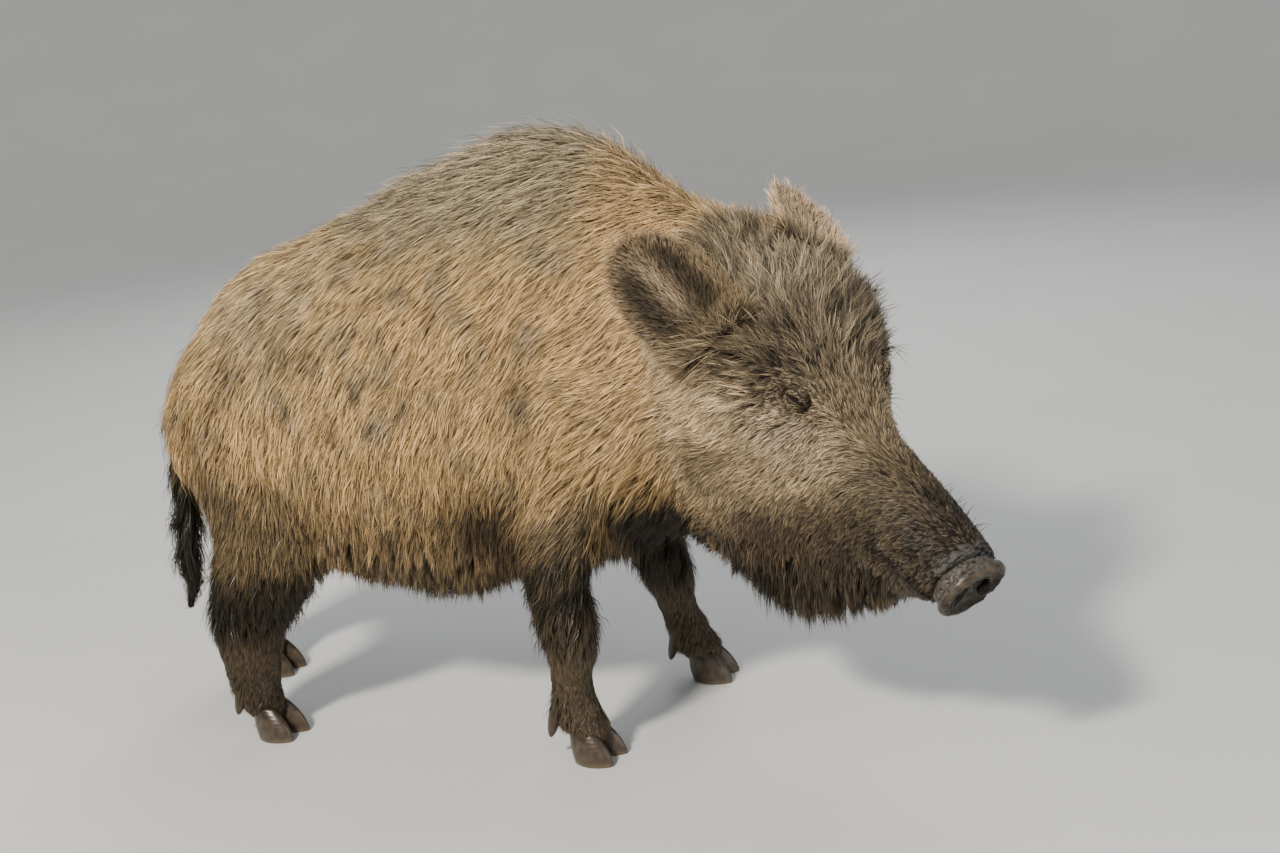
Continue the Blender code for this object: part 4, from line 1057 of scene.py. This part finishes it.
# from the middle of the face outwards, over the rolled lip and back along the neck: radius and x
s = np.linspace(0.004, 1, 44)
lip = np.radians(np.linspace(4, 152, 22))
radius = np.concatenate([0.0370 * s, 0.0372 + 0.0083 * np.sin(lip), np.linspace(0.0407, 0.0398, NECK_RINGS),
                         (0.037, 0.034, 0.026)])
ahead = np.concatenate([-0.0072 * (1 - s ** 3) + 0.0002 * s, -0.0062 + 0.0064 * np.cos(lip),
                        np.linspace(-0.0132, -0.0215, NECK_RINGS), (-0.026, -0.030, -0.031)])
turn = np.linspace(0, 2 * np.pi, DISC_SIDES, endpoint=False)[None, :]
r = radius[:, None] * (1 + 0.012 * np.sin(3 * turn + 0.7) + 0.008 * np.sin(7 * turn))
y, z = r * np.cos(turn), HEIGHT_SHARE * r * np.sin(turn)
x = ahead[:, None] + 0 * turn
on_face = (np.arange(len(radius)) < FACE_RINGS)[:, None]
x = x + 0.0035 * np.clip(np.sin(turn), 0, 1) ** 2 * (r / 0.0455) ** 2 * on_face
front_spot = np.stack([x, y, z], -1)
pit_share = 0 * x
# each nostril is a slanted oval pit, 16 by 25 mm, with a raised edge
for hand in (-1, 1):
    lean = np.radians(24.0) * hand
    pit_y, pit_z = y - hand * 0.0175, z + 0.002
    across_pit = pit_y * np.cos(lean) + pit_z * np.sin(lean)
    up_pit = -pit_y * np.sin(lean) + pit_z * np.cos(lean)
    e = np.sqrt((across_pit / 0.0078) ** 2 + (up_pit / 0.0125) ** 2)
    raised = 0.0028 * np.exp(-((e - 1.30) / 0.22) ** 2)
    x = x - 0.0115 * ramp(e, 1.02, 0.60) * on_face + raised * on_face
    pit_share = np.maximum(pit_share, ramp(e, 1.05, 0.72) * on_face)
ring_window = np.exp(-((r - 0.036) / 0.008) ** 2) * on_face
x = x + 0.00035 * np.sin(turn * 62 + 3.0 * np.sin(turn * 5)) * ring_window
x = x + 0.0006 * waves(front_spot, 0.014, 31) * (1 - pit_share) + 0.00012 * waves(front_spot, 0.0035, 32)
round_neck, along_neck = x / 0.0019 + 1.6 * waves(front_spot, 0.014, 33), 1.8 * waves(front_spot, 0.016, 35)
net = (np.abs(np.sin(round_neck)) * np.abs(np.sin(13 * turn + along_neck))) ** 0.5
creases = 0.0012 * (net - 0.6) * ~on_face * ramp(ahead, -0.0125, -0.0150)[:, None]
y, z = y * (1 + creases / 0.04), z * (1 + creases / 0.04)
disc_points = np.stack([x, y, z], -1).reshape(-1, 3) @ DISC_TURN.T + DISC_CENTRE
disc = put_mesh("snout_disc_skin", disc_points, sealed(len(radius), DISC_SIDES)[:, ::-1])
silt = 0.5 + 0.5 * waves(front_spot, 0.012, 34)
# the face: dark wet skin, laid darker still as painted shade
shade = linear("#211A10") + 0 * x[..., None]
# the rim's colour, which fades towards the dark face colour on its underside as painted shade
rim = np.exp(-((r - 0.0435) / 0.0045) ** 2)
shade = laid_over(shade, "#4A4036", rim * (0.35 + 0.65 * ramp(np.sin(turn), -0.4, 0.5)))
shade = laid_over(shade, "#5C5146", np.clip(rim * np.clip(np.sin(turn), 0, 1) * silt * 0.7, 0, 1))
# painted shade in the nostrils
shade = laid_over(shade, "#0E0B08", pit_share)
shade = laid_over(shade, "#55504B", 0.9 * ~on_face)
# painted shade in the creases of the disc's neck
shade = laid_over(shade, "#181615", ~on_face * ramp(net, 0.45, 0.15))
shade = shade * (0.85 + 0.3 * silt)[..., None]
coloured(disc, shade.reshape(-1, 3))
# bare snout skin: wet, finely pored, slate brown with dried silt on the rim
snout_material, shader = marked_material("wet_snout_skin", {"Roughness": 0.30, "Specular IOR Level": 0.18})
place = add_node(snout_material, "ShaderNodeTexCoord")
pores = add_node(snout_material, "ShaderNodeTexVoronoi", {"Scale": 620.0}, Vector=place.outputs["Object"])
relief = add_node(snout_material, "ShaderNodeBump", {"Strength": 0.20, "Distance": 0.0004},
                  Height=pores.outputs["Distance"])
link(snout_material, relief.outputs["Normal"], shader, "Normal")
disc.data.materials.append(snout_material)
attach(disc, "root")
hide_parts("snout_disc")

# Hooves
# Two horn claws to a foot, grown in rings from the hairline down, worn blunt at the toe and flat below.
# They carry her whole weight and are spread a little by it.
# horn: hard, grey-brown and half glossy, streaked along its growth and dulled with silt
horn, shader = marked_material("hoof_horn", {"Roughness": 0.28, "Specular IOR Level": 0.5})
place = add_node(horn, "ShaderNodeTexCoord")
grain = add_node(horn, "ShaderNodeTexNoise", {"Scale": 260.0, "Detail": 4.0}, Vector=place.outputs["Object"])
relief = add_node(horn, "ShaderNodeBump", {"Strength": 0.3, "Distance": 0.0008}, Height=grain.outputs[0])
link(horn, relief.outputs["Normal"], shader, "Normal")


def put_horn(name, node, points, rings, sides, shade, foot, heading):
    """A claw or spur of rings about the upright axis of its foot, turned and moved to where it grows."""
    points = turned_about_up(points, heading) + foot + ROOT_PLACE
    piece = put_mesh(name, points, sealed(rings, sides))
    coloured(piece, shade.reshape(-1, 3))
    piece.data.materials.append(horn)
    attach(piece, "root")
    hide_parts(node)


# one claw: each ring is ahead = half length x cos, side = width x sin, narrowed towards the toe; rings
# of growth swell it, and a few rings more close the sole and the top
CLAW_SIDES, SOLE_RINGS, WALL_RINGS = 64, 6, 30
HALF_LENGTH, BREADTH, HEIGHT, GROWTH_RINGS = 0.030, 0.028, 0.042, 8.5
rise = np.concatenate([np.zeros(SOLE_RINGS), np.linspace(0, 1, WALL_RINGS) ** 1.1, np.full(4, 1.02)])[:, None]
inset = np.concatenate([np.linspace(0.03, 0.965, SOLE_RINGS), np.full(WALL_RINGS, 1.0),
                        (0.9, 0.6, 0.3, 0.03)])[:, None]
turn = np.linspace(0, 2 * np.pi, CLAW_SIDES, endpoint=False)[None, :]
cos_t, sin_t = np.cos(turn), np.sin(turn)
size = (1 - 0.05 * rise - 0.37 * rise ** 2 - 0.035 * np.exp(-rise / 0.03)) * inset
size = size * (1 - 0.10 * np.clip(-cos_t, 0, 1) * np.exp(-((rise - 0.05) / 0.25) ** 2))
size = size + 0.007 * np.sin(2 * np.pi * (GROWTH_RINGS * rise + 0.25 * cos_t)) * (inset > 0.99) * (rise > 0.08)
shift = -0.004 * rise - 0.010 * rise ** 2
hollow = 0.0025 * (1 - inset) * (rise == 0)
upright = HEIGHT * np.minimum(rise, 1.0) + hollow + 0.001 * (rise > 1) + 0 * turn
grown = rise + 0 * turn
for leg, side, hand, foot, heading, splay in CLAWS:
    lateral = sin_t * np.where(sin_t * hand < 0, 0.42, 0.58) * (1 - 0.26 * np.clip(cos_t, 0, 1) ** 2)
    claw = np.stack([HALF_LENGTH * cos_t * size + shift, BREADTH * lateral * size, upright], -1)
    shade = linear("#463B2E") * (1 + 0.25 * waves(claw, 0.012, 41 + hand))[..., None]
    # painted shade: the upper part of each claw is laid darker, under the hair that hangs over it
    shade = laid_over(shade, "#2C2418", ramp(grown, 0.55, 0.95))
    shade = laid_over(shade, "#675A48", ramp(grown, 0.16, 0.02) * 0.6)
    claw = turned_about_up(claw.reshape(-1, 3), hand * splay) + (0, hand * 0.0150, 0)
    put_horn(f"claw_{leg}_{side}", f"hoof_{leg}_{side}", claw, len(rise), CLAW_SIDES, shade, foot, heading)

# Dewclaws
# The two small claws behind each foot, blunt spurs of the same horn that hang clear of the floor.
# A spur is a cone of rings along its own axis with a rounded end at both sides, ringed as it grew.
SPUR_RINGS, SPUR_SIDES, SPUR_THICK = 26, 40, 0.0101
s = np.linspace(0, 1, SPUR_RINGS)[:, None]
turn = np.linspace(0, 2 * np.pi, SPUR_SIDES, endpoint=False)[None, :]
along = -0.012 + 0.050 * np.sin(0.5 * np.pi * s)
tapered = np.clip(along, 0, 1) / 0.0384
radius = SPUR_THICK * (1 - 0.32 * tapered) * np.sqrt(np.clip(1 - tapered ** 4, 0.002, 1))
domed = np.sqrt(np.clip(1 - (np.clip(0.003 - along, 0, 1) / 0.0151) ** 2, 0.002, 1))
radius = radius * domed * (1 + 0.025 * np.sin(2 * np.pi * along / 0.0036))
upright_spur = np.stack([along + 0 * turn, radius * np.cos(turn), 0.87 * radius * np.sin(turn)], -1)
# the spur is laid darker towards its root, as painted shade under the tuft of hair over it
shade = 1 + 0.25 * waves(upright_spur, 0.01, 51) - 0.45 * ramp(along, 0.010, -0.004)
shade = linear("#3E3427") * shade[..., None]
for leg, side, hand, foot, heading, _ in CLAWS:
    hang_turn = np.array(Euler((hand * np.radians(14.0), np.radians(108.0), 0.0)).to_matrix())
    spur = upright_spur.reshape(-1, 3) @ hang_turn.T + (-0.043, hand * 0.017, 0.066)
    put_horn(f"spur_{leg}_{side}", f"dewclaw_{leg}_{side}", spur, SPUR_RINGS, SPUR_SIDES, shade, foot, heading)
